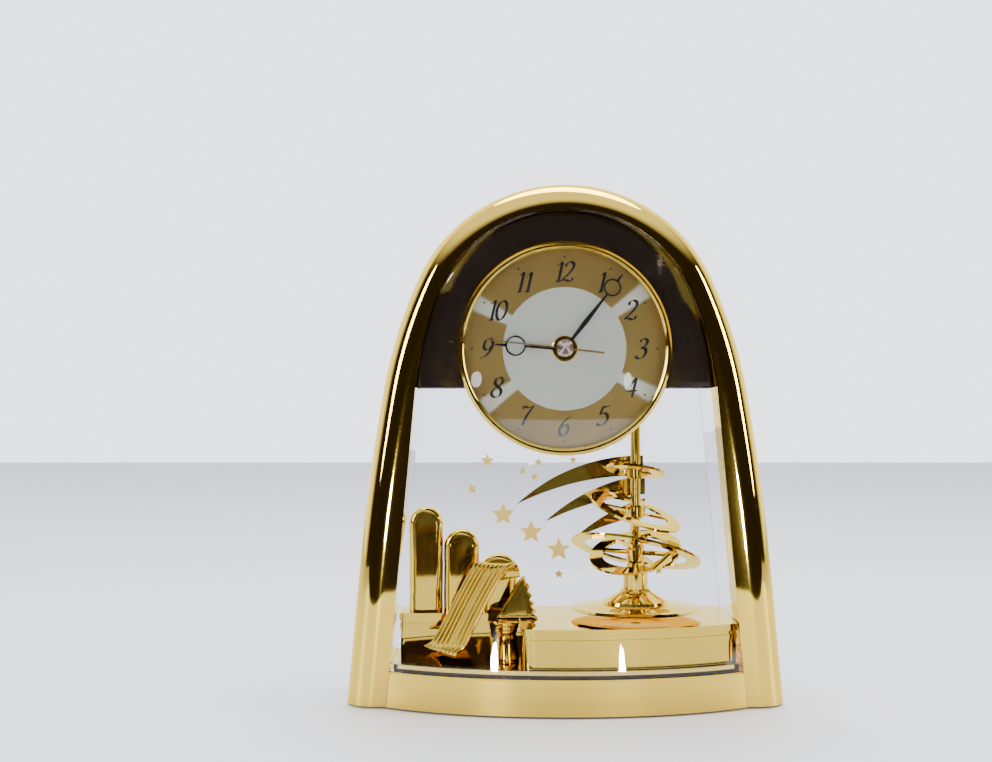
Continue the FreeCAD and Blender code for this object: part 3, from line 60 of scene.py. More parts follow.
# %% [markdown]
# ## Places worked out from the frame
#
# The middle of the dial's face is found from the dial plate's box, and the pieces below read
# the boxes of the nodes that they replace, so they move along when the CAD changes.

# %% Landmarks
dial_low, dial_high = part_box("dial_plate")
dial_middle = (dial_low + dial_high) / 2
DIAL = Vector((0, dial_low.y, dial_middle.z))
print("dial centre", [round(n, 4) for n in DIAL])

# %% [markdown]
# ## Camera
#
# A short telephoto lens a little to the left of the clock and just below the dial's middle,
# looking almost level and straight to the back, which keeps the clock's uprights upright. Its
# depth of field stays off, so every piece is sharp.

# %% Camera
CAMERA_PLACE = Vector((-35.1, -765.0, 152.7)) * MM
CAMERA_TILT = 90.82  # degrees from straight down; 90 is level
CAMERA_LENS = 53.82  # millimetres, on a sensor 36 mm wide
camera_data = bpy.data.cameras.new("Camera")
camera = bpy.data.objects.new("Camera", camera_data)
bpy.context.scene.collection.objects.link(camera)
camera.location = CAMERA_PLACE
camera.rotation_euler = (math.radians(CAMERA_TILT), 0, 0)
camera_data.lens = CAMERA_LENS
camera_data.sensor_width = 36.0
bpy.context.scene.camera = camera
print("camera", [round(n, 3) for n in camera.location], "lens", CAMERA_LENS)

# %% [markdown]
# ## Small helpers for materials
#
# Colours are written as the hex values a paint chart would give and turned to linear light
# once. One function adds a node to a tree with its settings and its links.

# %% Colour and node helpers
def linear(hex_value):
    """An sRGB hex colour as linear RGBA."""
    channels = [int(hex_value[place:place + 2], 16) / 255 for place in (0, 2, 4)]
    bent = [c / 12.92 if c <= 0.04045 else ((c + 0.055) / 1.055) ** 2.4 for c in channels]
    return (*bent, 1.0)


def add(tree, kind, settings=None, **inputs):
    """A node of a kind, with its settings; an input is a value or another node's socket."""
    made = tree.nodes.new(kind)
    for name, value in (settings or {}).items():
        setattr(made, name, value)
    for name, value in inputs.items():
        socket = made.inputs[int(name[1:]) if name[0] == "_" else name.replace("_", " ")]
        if isinstance(value, bpy.types.NodeSocket):
            tree.links.new(value, socket)
        else:
            socket.default_value = value
    return made


def new_material(name):
    """An empty node material; returns it and its tree."""
    material = bpy.data.materials.new(name)
    material.use_nodes = True
    material.node_tree.nodes.clear()
    return material, material.node_tree


def finish_material(tree, shader):
    """Wire a shader to the material's output."""
    add(tree, "ShaderNodeOutputMaterial", Surface=shader.outputs[0])


print("mid grey is", round(linear("808080")[0], 3), "in linear light")

# %% [markdown]
# ## Vacuum-plated gold
#
# The arch, the plinth and the ornaments are ABS mouldings, base-coated, flashed with aluminium
# in a vacuum and given a golden top lacquer. The result is a mirror with a deep yellow tint
# that turns pale at grazing angles, slightly wavy where the moulding has sunk, and with a few
# fine wipe marks in the lacquer. So the metal is nearly smooth, and two weak layers of noise,
# one 30 mm wide and one under a millimetre, stand for the sink and the wipe marks.

# %% Plated gold material
SINK_WIDTH = 30 * MM
WIPE_WIDTH = 0.9 * MM


def plated(name, base, edge, waviness, rough):
    """A plated mirror: its tint, its tint at grazing angles, how wavy and how rough it is."""
    material, tree = new_material(name)
    place = add(tree, "ShaderNodeTexCoord")
    wave = add(tree, "ShaderNodeTexNoise", Scale=1 / SINK_WIDTH, Detail=1.0,
               Vector=place.outputs["Object"])
    wipe = add(tree, "ShaderNodeTexNoise", Scale=1 / WIPE_WIDTH, Detail=3.0,
               Vector=place.outputs["Object"])
    bump = add(tree, "ShaderNodeBump", Strength=waviness, Distance=0.4 * MM,
               Height=wave.outputs[0])
    gloss = add(tree, "ShaderNodeMapRange", Value=wipe.outputs[0], To_Min=rough * 0.6,
                To_Max=rough * 1.5)
    shader = add(tree, "ShaderNodeBsdfPrincipled", Base_Color=linear(base), Metallic=1.0,
                 Roughness=gloss.outputs[0], Normal=bump.outputs[0])
    shader.inputs["Specular Tint"].default_value = linear(edge)
    finish_material(tree, shader)
    return material


# Arch, plinth, stage, ornaments, rings and disc: deep yellow, nearly a clean mirror.
GOLD = plated("vacuum_plated_gold_abs", "DFBD4E", "FFF2BC", 0.25, 0.035)
# The crescent round the dial: the same process in a smoky rose, and the waviest moulding.
DARK_ROSE = plated("vacuum_plated_dark_rose_abs", "ADA098", "D8CBC3", 0.6, 0.05)
# Bezel, fixing nut and pendulum rod: turned brass, so it is truer than the mouldings.
GOLD_METAL = plated("polished_gold_plated_brass", "E4C45A", "FFF2BC", 0.1, 0.05)
print("plated", GOLD.name, DARK_ROSE.name, GOLD_METAL.name)

# %% [markdown]
# ## Clear acrylic
#
# Cover, rear housing and lens are clear acrylic, IOR 1.49. Polished sheet has hardly any
# texture, only fingerprints and smears about a fingertip wide that show against the light, so
# it is perfectly smooth but for patches of noise 14 mm wide.

# %% Clear acrylic material
SMEAR_WIDTH = 14 * MM


def clear_plastic(name, tint, rough):
    """Clear plastic: its tint, and how rough its worst smears are."""
    material, tree = new_material(name)
    place = add(tree, "ShaderNodeTexCoord")
    smear = add(tree, "ShaderNodeTexNoise", Scale=1 / SMEAR_WIDTH, Detail=4.0,
                Vector=place.outputs["Object"])
    gloss = add(tree, "ShaderNodeMapRange", Value=smear.outputs[0], From_Min=0.45, From_Max=0.8,
                To_Min=0.0, To_Max=rough)
    shader = add(tree, "ShaderNodeBsdfPrincipled", Base_Color=linear(tint), IOR=1.49,
                 Roughness=gloss.outputs[0])
    shader.inputs["Transmission Weight"].default_value = 1.0
    finish_material(tree, shader)
    return material


ACRYLIC = clear_plastic("clear_polished_acrylic", "FBFCFD", 0.03)
print("clear", ACRYLIC.name)

# %% [markdown]
# ## Plain plastics, rubber and metals
#
# The rest of the clock is one even colour to a piece: the black parts at the back, the feet,
# the painted disc, the lacquered hands, and the movement's wheels and windings. What tells
# them apart is how dull they are and the grain that the tool or the process leaves. One
# function gives each a colour, a roughness and a fine grain that both dents the surface and
# varies its gloss. Real grain is a tenth or two of a millimetre wide and wouldn't show, so it
# is drawn as coarse as it needs to show.

# %% Moulded material
def moulded(name, colour, rough, grain_mm, metallic=0.0, grain=0.15):
    """A plain finish: its colour, roughness, width of grain, metallic share and grain depth."""
    material, tree = new_material(name)
    place = add(tree, "ShaderNodeTexCoord")
    noise = add(tree, "ShaderNodeTexNoise", Scale=1 / (grain_mm * MM), Detail=2.0,
                Vector=place.outputs["Object"])
    bump = add(tree, "ShaderNodeBump", Strength=grain, Distance=0.05 * MM, Height=noise.outputs[0])
    shade = add(tree, "ShaderNodeMapRange", Value=noise.outputs[0], To_Min=rough * 0.85,
                To_Max=min(rough * 1.15, 1.0))
    shader = add(tree, "ShaderNodeBsdfPrincipled", Base_Color=linear(colour), Metallic=metallic,
                 Roughness=shade.outputs[0], Normal=bump.outputs[0])
    finish_material(tree, shader)
    return material


# %% Plain materials for the case and the dial
# Rear cover, housing, base plate and battery door: spark-textured, with a broad dull sheen.
DARK_ABS = moulded("textured_dark_abs", "26221F", 0.45, 0.6)
# Feet: moulded rubber has no highlight to speak of.
RUBBER = moulded("moulded_rubber", "1C1C1C", 0.85, 0.8)
# Screws and stator: bluish-grey metal with a soft shine.
STEEL = moulded("zinc_plated_steel", "B9BABC", 0.28, 0.5, 1.0)
# The disc in the middle of the dial: matt ink, warm white, with no reflection of its own.
DIAL_PAINT = moulded("matte_cream_print", "F6F7E6", 0.6, 0.5)
# Hour and minute hands: black lacquer, rough enough not to mirror the pale wall.
BLACK = moulded("gloss_black_lacquer", "060607", 0.42, 1.5)
# Second hand: a thin tinted lacquer over metal.
HAND_GOLD = moulded("pale_gold_lacquer", "B99A5E", 0.3, 0.8, 1.0)
# Stars: hot-stamped foil under lacquer, a third of it metal, with a satin grain.
SATIN_GOLD = moulded("satin_gold_foil", "F0CC60", 0.42, 0.5, 0.35, 0.3)
# Numerals and dots: screen-printed ink, dull and not quite black.
INK = moulded("screen_printed_black_ink", "141215", 0.5, 0.4)
print("case and dial", DARK_ABS.name, RUBBER.name, STEEL.name, DIAL_PAINT.name, BLACK.name,
      HAND_GOLD.name, SATIN_GOLD.name, INK.name)

# %% Plain materials for the movement
# Movement case: uncoloured ABS, warm and slightly waxy.
WHITE_ABS = moulded("natural_abs", "DAD9D2", 0.4, 0.7)
# Wheels: uncoloured acetal, whiter and slicker than ABS.
ACETAL = moulded("natural_acetal", "EFEDE4", 0.35, 0.8)
# Coil: fine enamelled wire, a reddish shine.
COPPER = moulded("enamelled_copper_wire", "B5653A", 0.25, 0.2, 1.0)
# Circuit board: solder resist over woven glass.
BOARD = moulded("green_circuit_board", "1F5A33", 0.4, 0.9)
# Battery: a printed jacket without lettering.
CELL = moulded("printed_cell_jacket", "1F3C6B", 0.3, 1.0)
# Contacts and the crystal's can: bright nickel.
NICKEL = moulded("nickel_plated_spring", "C9CACC", 0.2, 0.6, 1.0)
print("movement", WHITE_ABS.name, ACETAL.name, COPPER.name, BOARD.name, CELL.name, NICKEL.name)

# %% [markdown]
# ## Brushed dial and spun cap, with painted highlight rays
#
# The chapter ring is aluminium turned under a fine abrasive, anodised pale gold. Its grooves
# run in circles, so every lamp in front of it draws a bright ray through the middle: two lamps
# give four rays. Grooves a hundredth of a millimetre wide are too fine to trace, so these rays
# are painted highlights: lamp reflections drawn into the colour from the angle round the dial,
# and the visible rings are 0.35 mm apart. The price is that these painted rays stay where they
# are when a lamp or the onlooker moves. The cap on the hands is spun in the same way, and its
# rays, painted highlights too, stand crosswise.

# %% Metal with painted highlight rays
def rayed_metal(name, dark, bright, ray_angles, ray_edges, ring_mm, rough):
    """Turned metal with painted highlight rays: its own tint, the tint of the painted rays, each
    ray's angle, where its edge starts and ends, ring pitch.
    """
    material, tree = new_material(name)
    place = add(tree, "ShaderNodeTexCoord")
    centred = add(tree, "ShaderNodeVectorMath", {"operation": "SUBTRACT"},
                  _0=place.outputs["Object"], _1=DIAL)
    flat = add(tree, "ShaderNodeVectorMath", {"operation": "MULTIPLY"},
               _0=centred.outputs[0], _1=(1, 0, 1))
    radius = add(tree, "ShaderNodeVectorMath", {"operation": "LENGTH"}, _0=flat.outputs[0])
    unit = add(tree, "ShaderNodeVectorMath", {"operation": "NORMALIZE"}, _0=flat.outputs[0])
    # Each ray is a painted highlight: a band at a fixed angle round the dial where the colour
    # turns pale.
    ray = None
    for angle in ray_angles:
        turn = math.radians(angle)
        beside = add(tree, "ShaderNodeVectorMath", {"operation": "DOT_PRODUCT"},
                     _0=unit.outputs[0], _1=(-math.sin(turn), 0, math.cos(turn)))
        size = add(tree, "ShaderNodeMath", {"operation": "ABSOLUTE"}, _0=beside.outputs["Value"])
        one = add(tree, "ShaderNodeMapRange", {"interpolation_type": "SMOOTHSTEP"},
                  Value=size.outputs[0], From_Min=ray_edges[0], From_Max=ray_edges[1],
                  To_Min=1.0, To_Max=0.0)
        ray = one if ray is None else add(tree, "ShaderNodeMath", {"operation": "MAXIMUM"},
                                          _0=ray.outputs[0], _1=one.outputs[0])
    rings = add(tree, "ShaderNodeTexNoise", {"noise_dimensions": "1D"}, W=radius.outputs["Value"],
                Scale=1 / (ring_mm * MM), Detail=3.0)
    bump = add(tree, "ShaderNodeBump", Strength=0.12, Distance=0.03 * MM, Height=rings.outputs[0])
    tone = add(tree, "ShaderNodeMapRange", Value=rings.outputs[0], From_Min=0.3, From_Max=0.7,
               To_Min=0.0, To_Max=0.22)
    shade = add(tree, "ShaderNodeMath", {"operation": "ADD"}, _0=ray.outputs[0],
                _1=tone.outputs[0])
    colour = add(tree, "ShaderNodeMix", {"data_type": "RGBA"}, _0=shade.outputs[0],
                 _6=linear(dark), _7=linear(bright))
    # Inside a painted ray the metal turns diffuse, so the painted highlight shows bright under any
    # lamp.
    metal = add(tree, "ShaderNodeMapRange", Value=ray.outputs[0], To_Min=1.0, To_Max=0.0)
    shader = add(tree, "ShaderNodeBsdfPrincipled", Base_Color=colour.outputs["Result"],
                 Metallic=metal.outputs[0], Roughness=rough, Normal=bump.outputs[0])
    shader.inputs["Anisotropic"].default_value = 0.4
    finish_material(tree, shader)
    return material


# Chapter ring: warm gold between the rays, and nearly white in the painted highlight rays.
DIAL_METAL = rayed_metal("turned_champagne_aluminium_with_painted_rays", "C29C3C", "FFFDE8", (36.0, 152.5),
                         (0.05, 0.11), 0.35, 0.34)
# Cap on the hands: pinker, with broad soft painted highlight rays.
ROSE = rayed_metal("spun_rose_gold_brass_with_painted_rays", "C79A80", "FFF0E6", (45.0, 135.0), (0.1, 0.35),
                   0.15, 0.25)
print("rayed", DIAL_METAL.name, ROSE.name)

# %% [markdown]
# ## A finish for each slot
#
# Every CAD node carries the name of its finish, its slot, like a part list that says plate
# this and mould that. A table turns each slot into a material once, so a node added to the CAD
# gets its finish with no change here.

# %% Finish for each slot
SLOT_MATERIALS = {
    "gold_plating": GOLD, "rose_plating": DARK_ROSE, "clear_acrylic": ACRYLIC,
    "dark_abs": DARK_ABS, "rubber_foot": RUBBER, "steel": STEEL, "dial_metal": DIAL_METAL,
    "dial_paint": DIAL_PAINT, "gold_metal": GOLD_METAL, "black_lacquer": BLACK,
    "hand_gold": HAND_GOLD, "rose_metal": ROSE, "movement_abs": WHITE_ABS,
    "gear_acetal": ACETAL, "copper": COPPER, "board": BOARD, "cell_jacket": CELL,
    "contact": NICKEL,
}
print(len(SLOT_MATERIALS), "slots")

# %% [markdown]
# ## Smooth skins for the CAD nodes
#
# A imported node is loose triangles, which a mirror finish would show as facets. A small
# Geometry Nodes tree joins them and shades every edge smooth that turns by less than 30
# degrees. The stars share a slot with the plated gold but are duller on the real clock, so
# they get their own finish afterwards.

# %% Smooth skin tree
JOIN_DISTANCE = 0.002 * MM
SHARP_ANGLE = 30


def smooth_tree():
    """A tree that joins loose triangles and keeps only the sharp edges sharp."""
    tree = bpy.data.node_groups.new("SmoothSkin", "GeometryNodeTree")
    tree.interface.new_socket("Geometry", in_out="INPUT", socket_type="NodeSocketGeometry")
    tree.interface.new_socket("Geometry", in_out="OUTPUT", socket_type="NodeSocketGeometry")
    source = add(tree, "NodeGroupInput")
    merged = add(tree, "GeometryNodeMergeByDistance", Geometry=source.outputs[0],
                 Distance=JOIN_DISTANCE)
    smooth = add(tree, "GeometryNodeSetShadeSmooth", {"domain": "FACE"},
                 Geometry=merged.outputs[0], Shade_Smooth=True)
    angle = add(tree, "GeometryNodeInputMeshEdgeAngle")
    sharp = add(tree, "FunctionNodeCompare", {"data_type": "FLOAT", "operation": "GREATER_THAN"},
                _0=angle.outputs["Unsigned Angle"], _1=math.radians(SHARP_ANGLE))
    edges = add(tree, "GeometryNodeSetShadeSmooth", {"domain": "EDGE"},
                Geometry=smooth.outputs[0], Selection=sharp.outputs[0], Shade_Smooth=False)
    add(tree, "NodeGroupOutput", Geometry=edges.outputs[0])
    return tree


SMOOTH = smooth_tree()
print("tree", SMOOTH.name)

# %% Finishes and skins on the nodes
for row in frame["record"]["subparts"]:
    node = NODES[row["node"]]
    node.data.materials.clear()
    node.data.materials.append(SLOT_MATERIALS[row["material_slot"]])
    smoothing = node.modifiers.new("SmoothSkin", "NODES")
    smoothing.node_group = SMOOTH
NODES["stars"].data.materials[0] = SATIN_GOLD
print("materials set on", len(NODES))

# %% [markdown]
# ## Small makers for meshes
#
# Every new piece is a closed skin over a row of closed loops, the way a boat is planked over
# its frames. `catmull` runs a smooth line through a few points, `skin` joins the loops and
# closes both ends, and `make_piece` turns the faces outwards and hangs the result on its body.

# %% Smooth line
def catmull(points, steps, closed=False):
    """A smooth line through the points."""
    spots = [Vector(point) for point in points]
    if closed:
        spots = [spots[-1]] + spots + spots[:2]
    else:
        spots = [2 * spots[0] - spots[1]] + spots + [2 * spots[-1] - spots[-2]]
    line = []
    for a, b, c, d in zip(spots, spots[1:], spots[2:], spots[3:]):
        for step in range(steps):
            t = step / steps
            line.append(0.5 * (2 * b + (c - a) * t + (2 * a - 5 * b + 4 * c - d) * t ** 2
                               + (3 * b - a - 3 * c + d) * t ** 3))
    return line if closed else line + [spots[-2]]


print("three points and 4 steps give", len(catmull([(0, 0, 0), (1, 1, 0), (2, 0, 0)], 4)), "spots")

# %% Planked skin
def skin(mesh, loops):
    """Plank a closed skin over a row of closed loops of equal length, and close its ends."""
    rows = [[mesh.verts.new(spot) for spot in loop] for loop in loops]
    for low, high in zip(rows, rows[1:]):
        for side in range(len(low)):
            after = (side + 1) % len(low)
            mesh.faces.new((low[side], low[after], high[after], high[side]))
    mesh.faces.new(rows[0])
    mesh.faces.new(rows[-1])

# %% Finished piece
def make_piece(name, mesh, material, slot_name, *nodes, body="root", angle=40):
    """Shade a bmesh smooth, give it its finish and hang it on its body."""
    bmesh.ops.recalc_face_normals(mesh, faces=mesh.faces)
    data = bpy.data.meshes.new(name)
    mesh.to_mesh(data)
    mesh.free()
    data.shade_smooth()
    data.set_sharp_from_angle(angle=math.radians(angle))
    data.materials.append(material)
    piece = bpy.data.objects.new(name, data)
    bpy.context.scene.collection.objects.link(piece)
    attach(piece, body)
    if nodes:
        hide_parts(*nodes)
    print(name, len(data.polygons), "faces")

# %% [markdown]
# ## The dial's numerals
#
# They are screen printed in black on the chapter ring, in an italic drawn with a broad nib.
# Fonts can't be read here, so each digit is a few pen strokes on a unit square: the stroke is
# widest across the nib and thinnest along it, which gives the swelling curves. The ink is a
# film 0.05 mm thick, so each stroke is a closed strip.

# %% Strokes of each digit
DIGITS = {
    "0": [[(.28, 1), (.10, .84), (.03, .5), (.10, .15), (.27, 0), (.44, .16), (.51, .5),
           (.44, .85), (.28, 1)]],
    "1": [[(.04, .82), (.16, .88), (.26, 1)], [(.26, 1), (.26, .5), (.26, 0)],
          [(.14, .01), (.26, 0), (.38, .03)]],
    "2": [[(.06, .76), (.10, .92), (.27, 1), (.45, .90), (.46, .70), (.33, .44), (.14, .2),
           (0, .03)], [(0, .03), (.18, .08), (.38, .02), (.50, .05), (.57, .2)]],
    "3": [[(.08, .84), (.18, .97), (.34, 1), (.46, .87), (.40, .66), (.20, .55)],
          [(.20, .55), (.42, .50), (.50, .30), (.40, .07), (.18, 0), (.02, .12)]],
    "4": [[(.40, 1), (.20, .64), (.02, .32)], [(.02, .32), (.30, .32), (.58, .33)],
          [(.40, 1), (.40, .5), (.40, 0)]],
    "5": [[(.16, .97), (.13, .78), (.09, .55)], [(.09, .55), (.28, .63), (.46, .52),
           (.50, .28), (.37, .06), (.16, 0), (0, .10)], [(.16, .97), (.34, .95), (.53, 1.02)]],
    "6": [[(.52, 1), (.29, .86), (.11, .60), (.04, .30), (.13, .06), (.29, 0), (.45, .13),
           (.48, .36), (.37, .54), (.20, .52), (.06, .34)]],
    "7": [[(.03, .84), (.09, .97), (.24, .92), (.38, .92), (.55, 1)],
          [(.55, 1), (.40, .70), (.26, .36), (.19, 0)]],
    "8": [[(.27, .54), (.11, .68), (.10, .90), (.28, 1), (.44, .90), (.43, .70), (.27, .54),
           (.08, .38), (.02, .18), (.13, .03), (.29, 0), (.46, .10), (.47, .34), (.27, .54)]],
    "9": [[(.02, 0), (.25, .14), (.43, .40), (.50, .70), (.41, .94), (.25, 1), (.09, .87),
           (.06, .64), (.17, .46), (.34, .48), (.48, .66)]],
}
print(sum(len(strokes) for strokes in DIGITS.values()), "strokes in", len(DIGITS), "digits")

# %% Pen strip
NIB_ANGLE = math.radians(24)
NIB_THIN = 0.018  # half widths along and across the nib, on the unit square
NIB_WIDE = 0.058
SLANT = math.tan(math.radians(13))
STROKE_STEPS = 7
INK_BACK = DIAL.y + 0.01 * MM
INK_FRONT = DIAL.y - 0.05 * MM


def pen_strip(mesh, stroke, left, low, height):
    """One pen stroke of a digit as a closed strip of ink."""
    line = catmull([(x, y, 0) for x, y in stroke], STROKE_STEPS)
    loops = []
    for number, spot in enumerate(line):
        along = line[min(number + 1, len(line) - 1)] - line[max(number - 1, 0)]
        turn = math.atan2(along.y, along.x)
        half = NIB_THIN + NIB_WIDE * abs(math.sin(turn - NIB_ANGLE))
        side = Vector((-math.sin(turn), math.cos(turn), 0)) * half
        ends = []
        for edge in (spot - side, spot + side):
            ends.append((left + (edge.x + edge.y * SLANT) * height, low + edge.y * height))
        (x1, z1), (x2, z2) = ends
        loops.append([(x1, INK_FRONT, z1), (x2, INK_FRONT, z2), (x2, INK_BACK, z2),
                      (x1, INK_BACK, z1)])
    skin(mesh, loops)

# %% [markdown]
# ## The numerals round the dial
#
# Twelve upright numerals stand on a ring, each centred on its hour. One mesh holds them all,
# as one pass of the screen prints them all. Ten, eleven and twelve are set closer, because
# the figure one is narrow.

# %% Numerals
NUMERAL_RING = 39.4 * MM
NUMERAL_HEIGHT = 10.0 * MM
DIGIT_WIDTH = 0.52  # of the height
PAIR_ADVANCE = 0.5
DIGIT_ADVANCE = 0.6
SET_CLOSER = 0.8

numeral_mesh = bmesh.new()
for hour in range(1, 13):
    turn = math.radians(90 - 30 * hour)
    digits = str(hour)
    advance = PAIR_ADVANCE if len(digits) == 2 else DIGIT_ADVANCE
    width = (DIGIT_WIDTH + advance * (len(digits) - 1) * SET_CLOSER) * NUMERAL_HEIGHT
    middle_x = DIAL.x + NUMERAL_RING * math.cos(turn)
    low = DIAL.z + NUMERAL_RING * math.sin(turn) - NUMERAL_HEIGHT / 2
    start = middle_x - width / 2 - SLANT * NUMERAL_HEIGHT / 2
    for place_number, digit in enumerate(digits):
        left = start + place_number * advance * SET_CLOSER * NUMERAL_HEIGHT
        for stroke in DIGITS[digit]:
            pen_strip(numeral_mesh, stroke, left, low, NUMERAL_HEIGHT)
make_piece("dial_numerals", numeral_mesh, INK, "black_lacquer")

# %% [markdown]
# ## Things that repeat
#
# The dial's twelve dots are one dot on twelve points, and the rear cover's screws one screw on
# four. A Geometry Nodes tree puts a shape on every point and makes the copies real, so that
# the result is plain mesh. The points are exact, so nothing is random.

# %% Repeating tree
def repeat_tree():
    """A tree that puts a shape on every point, with a finish."""
    tree = bpy.data.node_groups.new("RepeatOnPoints", "GeometryNodeTree")
    tree.interface.new_socket("Geometry", in_out="INPUT", socket_type="NodeSocketGeometry")
    tree.interface.new_socket("Shape", in_out="INPUT", socket_type="NodeSocketObject")
    tree.interface.new_socket("Finish", in_out="INPUT", socket_type="NodeSocketMaterial")
    tree.interface.new_socket("Geometry", in_out="OUTPUT", socket_type="NodeSocketGeometry")
    source = add(tree, "NodeGroupInput")
    shape = add(tree, "GeometryNodeObjectInfo", Object=source.outputs["Shape"])
    placed = add(tree, "GeometryNodeInstanceOnPoints", Points=source.outputs["Geometry"],
                 Instance=shape.outputs["Geometry"])
    real = add(tree, "GeometryNodeRealizeInstances", Geometry=placed.outputs[0])
    finished = add(tree, "GeometryNodeSetMaterial", Geometry=real.outputs[0],
                   Material=source.outputs["Finish"])
    add(tree, "NodeGroupOutput", Geometry=finished.outputs[0])
    return tree


REPEAT = repeat_tree()
print("tree", REPEAT.name)

# %% Repeat a shape
def repeat(name, shape_mesh, spots, material, slot_name, *nodes):
    """One shape on every spot, as one plain mesh on the clock's fixed body."""
    bmesh.ops.recalc_face_normals(shape_mesh, faces=shape_mesh.faces)
    shape_data = bpy.data.meshes.new(name + "_shape")
    shape_mesh.to_mesh(shape_data)
    shape_mesh.free()
    shape = bpy.data.objects.new(name + "_shape", shape_data)
    points = bpy.data.meshes.new(name + "_points")
    points.from_pydata(spots, [], [])
    carrier = bpy.data.objects.new(name + "_points", points)
    for thing in (shape, carrier):
        bpy.context.scene.collection.objects.link(thing)
    copies = carrier.modifiers.new("RepeatOnPoints", "NODES")
    copies.node_group = REPEAT
    inputs = {item.name: item.identifier for item in REPEAT.interface.items_tree
              if item.in_out == "INPUT"}
    copies[inputs["Shape"]] = shape
    copies[inputs["Finish"]] = material
    evaluated = carrier.evaluated_get(bpy.context.evaluated_depsgraph_get())
    data = bpy.data.meshes.new_from_object(evaluated)
    for thing in (shape, carrier):
        bpy.data.objects.remove(thing)
    data.name = name
    data.shade_smooth()
    data.set_sharp_from_angle(angle=math.radians(35))
    piece = bpy.data.objects.new(name, data)
    bpy.context.scene.collection.objects.link(piece)
    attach(piece, "root")
    if nodes:
        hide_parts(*nodes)
    print(name, len(spots), "copies,", len(data.polygons), "faces")

# %% Ring of points
def ring_of(count, radius, depth):
    """A loop about the Y axis: its radius may be a number or a function of the angle."""
    turns = [2 * math.pi * step / count for step in range(count)]
    sizes = [radius(turn) if callable(radius) else radius for turn in turns]
    return [(size * math.cos(turn), depth, size * math.sin(turn))
            for turn, size in zip(turns, sizes)]


print("a ring of 4 starts at", ring_of(4, 1.0, 0)[0])

# %% [markdown]
# ## The dial's dots
#
# A dot of the same ink marks each hour outside the numerals. It is a disc as thick as the ink
# with sixteen sides, enough to look round at a millimetre across.

# %% Dial dots
DOT_RING = 47.2 * MM
DOT_RADIUS = 0.5 * MM
DOT_SIDES = 16

dot_mesh = bmesh.new()
skin(dot_mesh, [ring_of(DOT_SIDES, DOT_RADIUS, 0),
                ring_of(DOT_SIDES, DOT_RADIUS, INK_FRONT - INK_BACK)])
dot_spots = []
for hour in range(12):
    turn = math.radians(30 * hour)
    dot_spots.append((DIAL.x + DOT_RING * math.cos(turn), INK_BACK,
                      DIAL.z + DOT_RING * math.sin(turn)))
repeat("dial_dots", dot_mesh, dot_spots, INK, "black_lacquer")

# %% [markdown]
# ## Rear screws
#
# Pan-head self-tapping screws with a cross recess, zinc plated. The recess is a loop whose
# radius swings between the arms and the corners of a cross.

# %% Cross recess
CROSS_REACH = 1.75  # millimetres from the middle to an arm's end
CROSS_ARM = 0.42  # half an arm's width


def cross_recess(size):
    """The radius of a cross-shaped loop at an angle."""
    def radius(turn):
        slim = max(min(abs(math.sin(turn)), abs(math.cos(turn))), 0.001)
        return min(CROSS_REACH * size, CROSS_ARM * size / slim) * MM
    return radius


print("recess at 0 and 45 degrees", [round(cross_recess(1.0)(math.radians(turn)) / MM, 2)
                                    for turn in (0, 45)], "mm")

# %% Rear screws
SCREW_HEAD = 2.9 * MM
SCREW_SHANK = 1.45 * MM
SCREW_TIP = 0.4 * MM
UPPER_SCREW = 50.8 * MM  # from the clock's middle to an upper screw
SCREW_SIDES = 64

screws_low, screws_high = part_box("rear_screws")
screw_length = screws_high.y - screws_low.y
head_low = screw_length - 0.8 * MM
# radius and place along the screw, from its tip, up the shank, over the head and into the recess
screw_profile = [(SCREW_TIP, 0), (SCREW_SHANK, 1.6 * MM), (SCREW_SHANK, head_low),
                 (SCREW_HEAD, head_low), (SCREW_HEAD, head_low + 0.35 * MM),
                 (SCREW_HEAD * 0.93, head_low + 0.62 * MM), (SCREW_HEAD * 0.78, screw_length),
                 (cross_recess(1.0), screw_length), (cross_recess(0.72), screw_length - 0.75 * MM)]
screw_mesh = bmesh.new()
skin(screw_mesh, [ring_of(SCREW_SIDES, radius, depth) for radius, depth in screw_profile])
high = screws_high.z - SCREW_HEAD
low = screws_low.z + SCREW_HEAD
wide = screws_high.x - SCREW_HEAD
repeat("rear_screws_cross", screw_mesh,
       [(side * right, screws_low.y, up) for side in (-1, 1)
        for right, up in ((UPPER_SCREW, high), (wide, low))], STEEL, "steel", "rear_screws")

# %% [markdown]
# ## The fluted ribbon
#
# A strip of plated moulding rolls over a crest, runs down in an S and fans out into a foot.
# Its face has seven flutes between two beads. The strip is a cross-section carried along a
# smooth line, and the flutes are a cosine across it that opens with the width. Three small
# beads lie at the crest, where the moulding gathers.

# %% Ribbon path and section
RIBBON_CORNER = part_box("ribbon")[1]
# centre of the strip from the box's right, back and top corner (mm), heading, half width
RIBBON_PATH = [
    (-12.3, -3.6, -8.7, 12, 8.6),
    (-14.4, -5.8, -1.9, 12, 8.9),
    (-20.2, -13.0, -2.2, 14, 9.0),
    (-27.6, -22.0, -13.6, 20, 9.0),
    (-35.2, -31.5, -27.6, 24, 9.2),
    (-40.3, -37.5, -37.0, 26, 9.8),
    (-45.2, -42.4, -40.6, 28, 10.8),
]


FLUTE_HEIGHT = 0.85
FLUTED_SHARE = 0.84
BEAD_HEIGHT = 1.1
BEAD_MIDDLE = 0.91
BEAD_HALF = 0.09


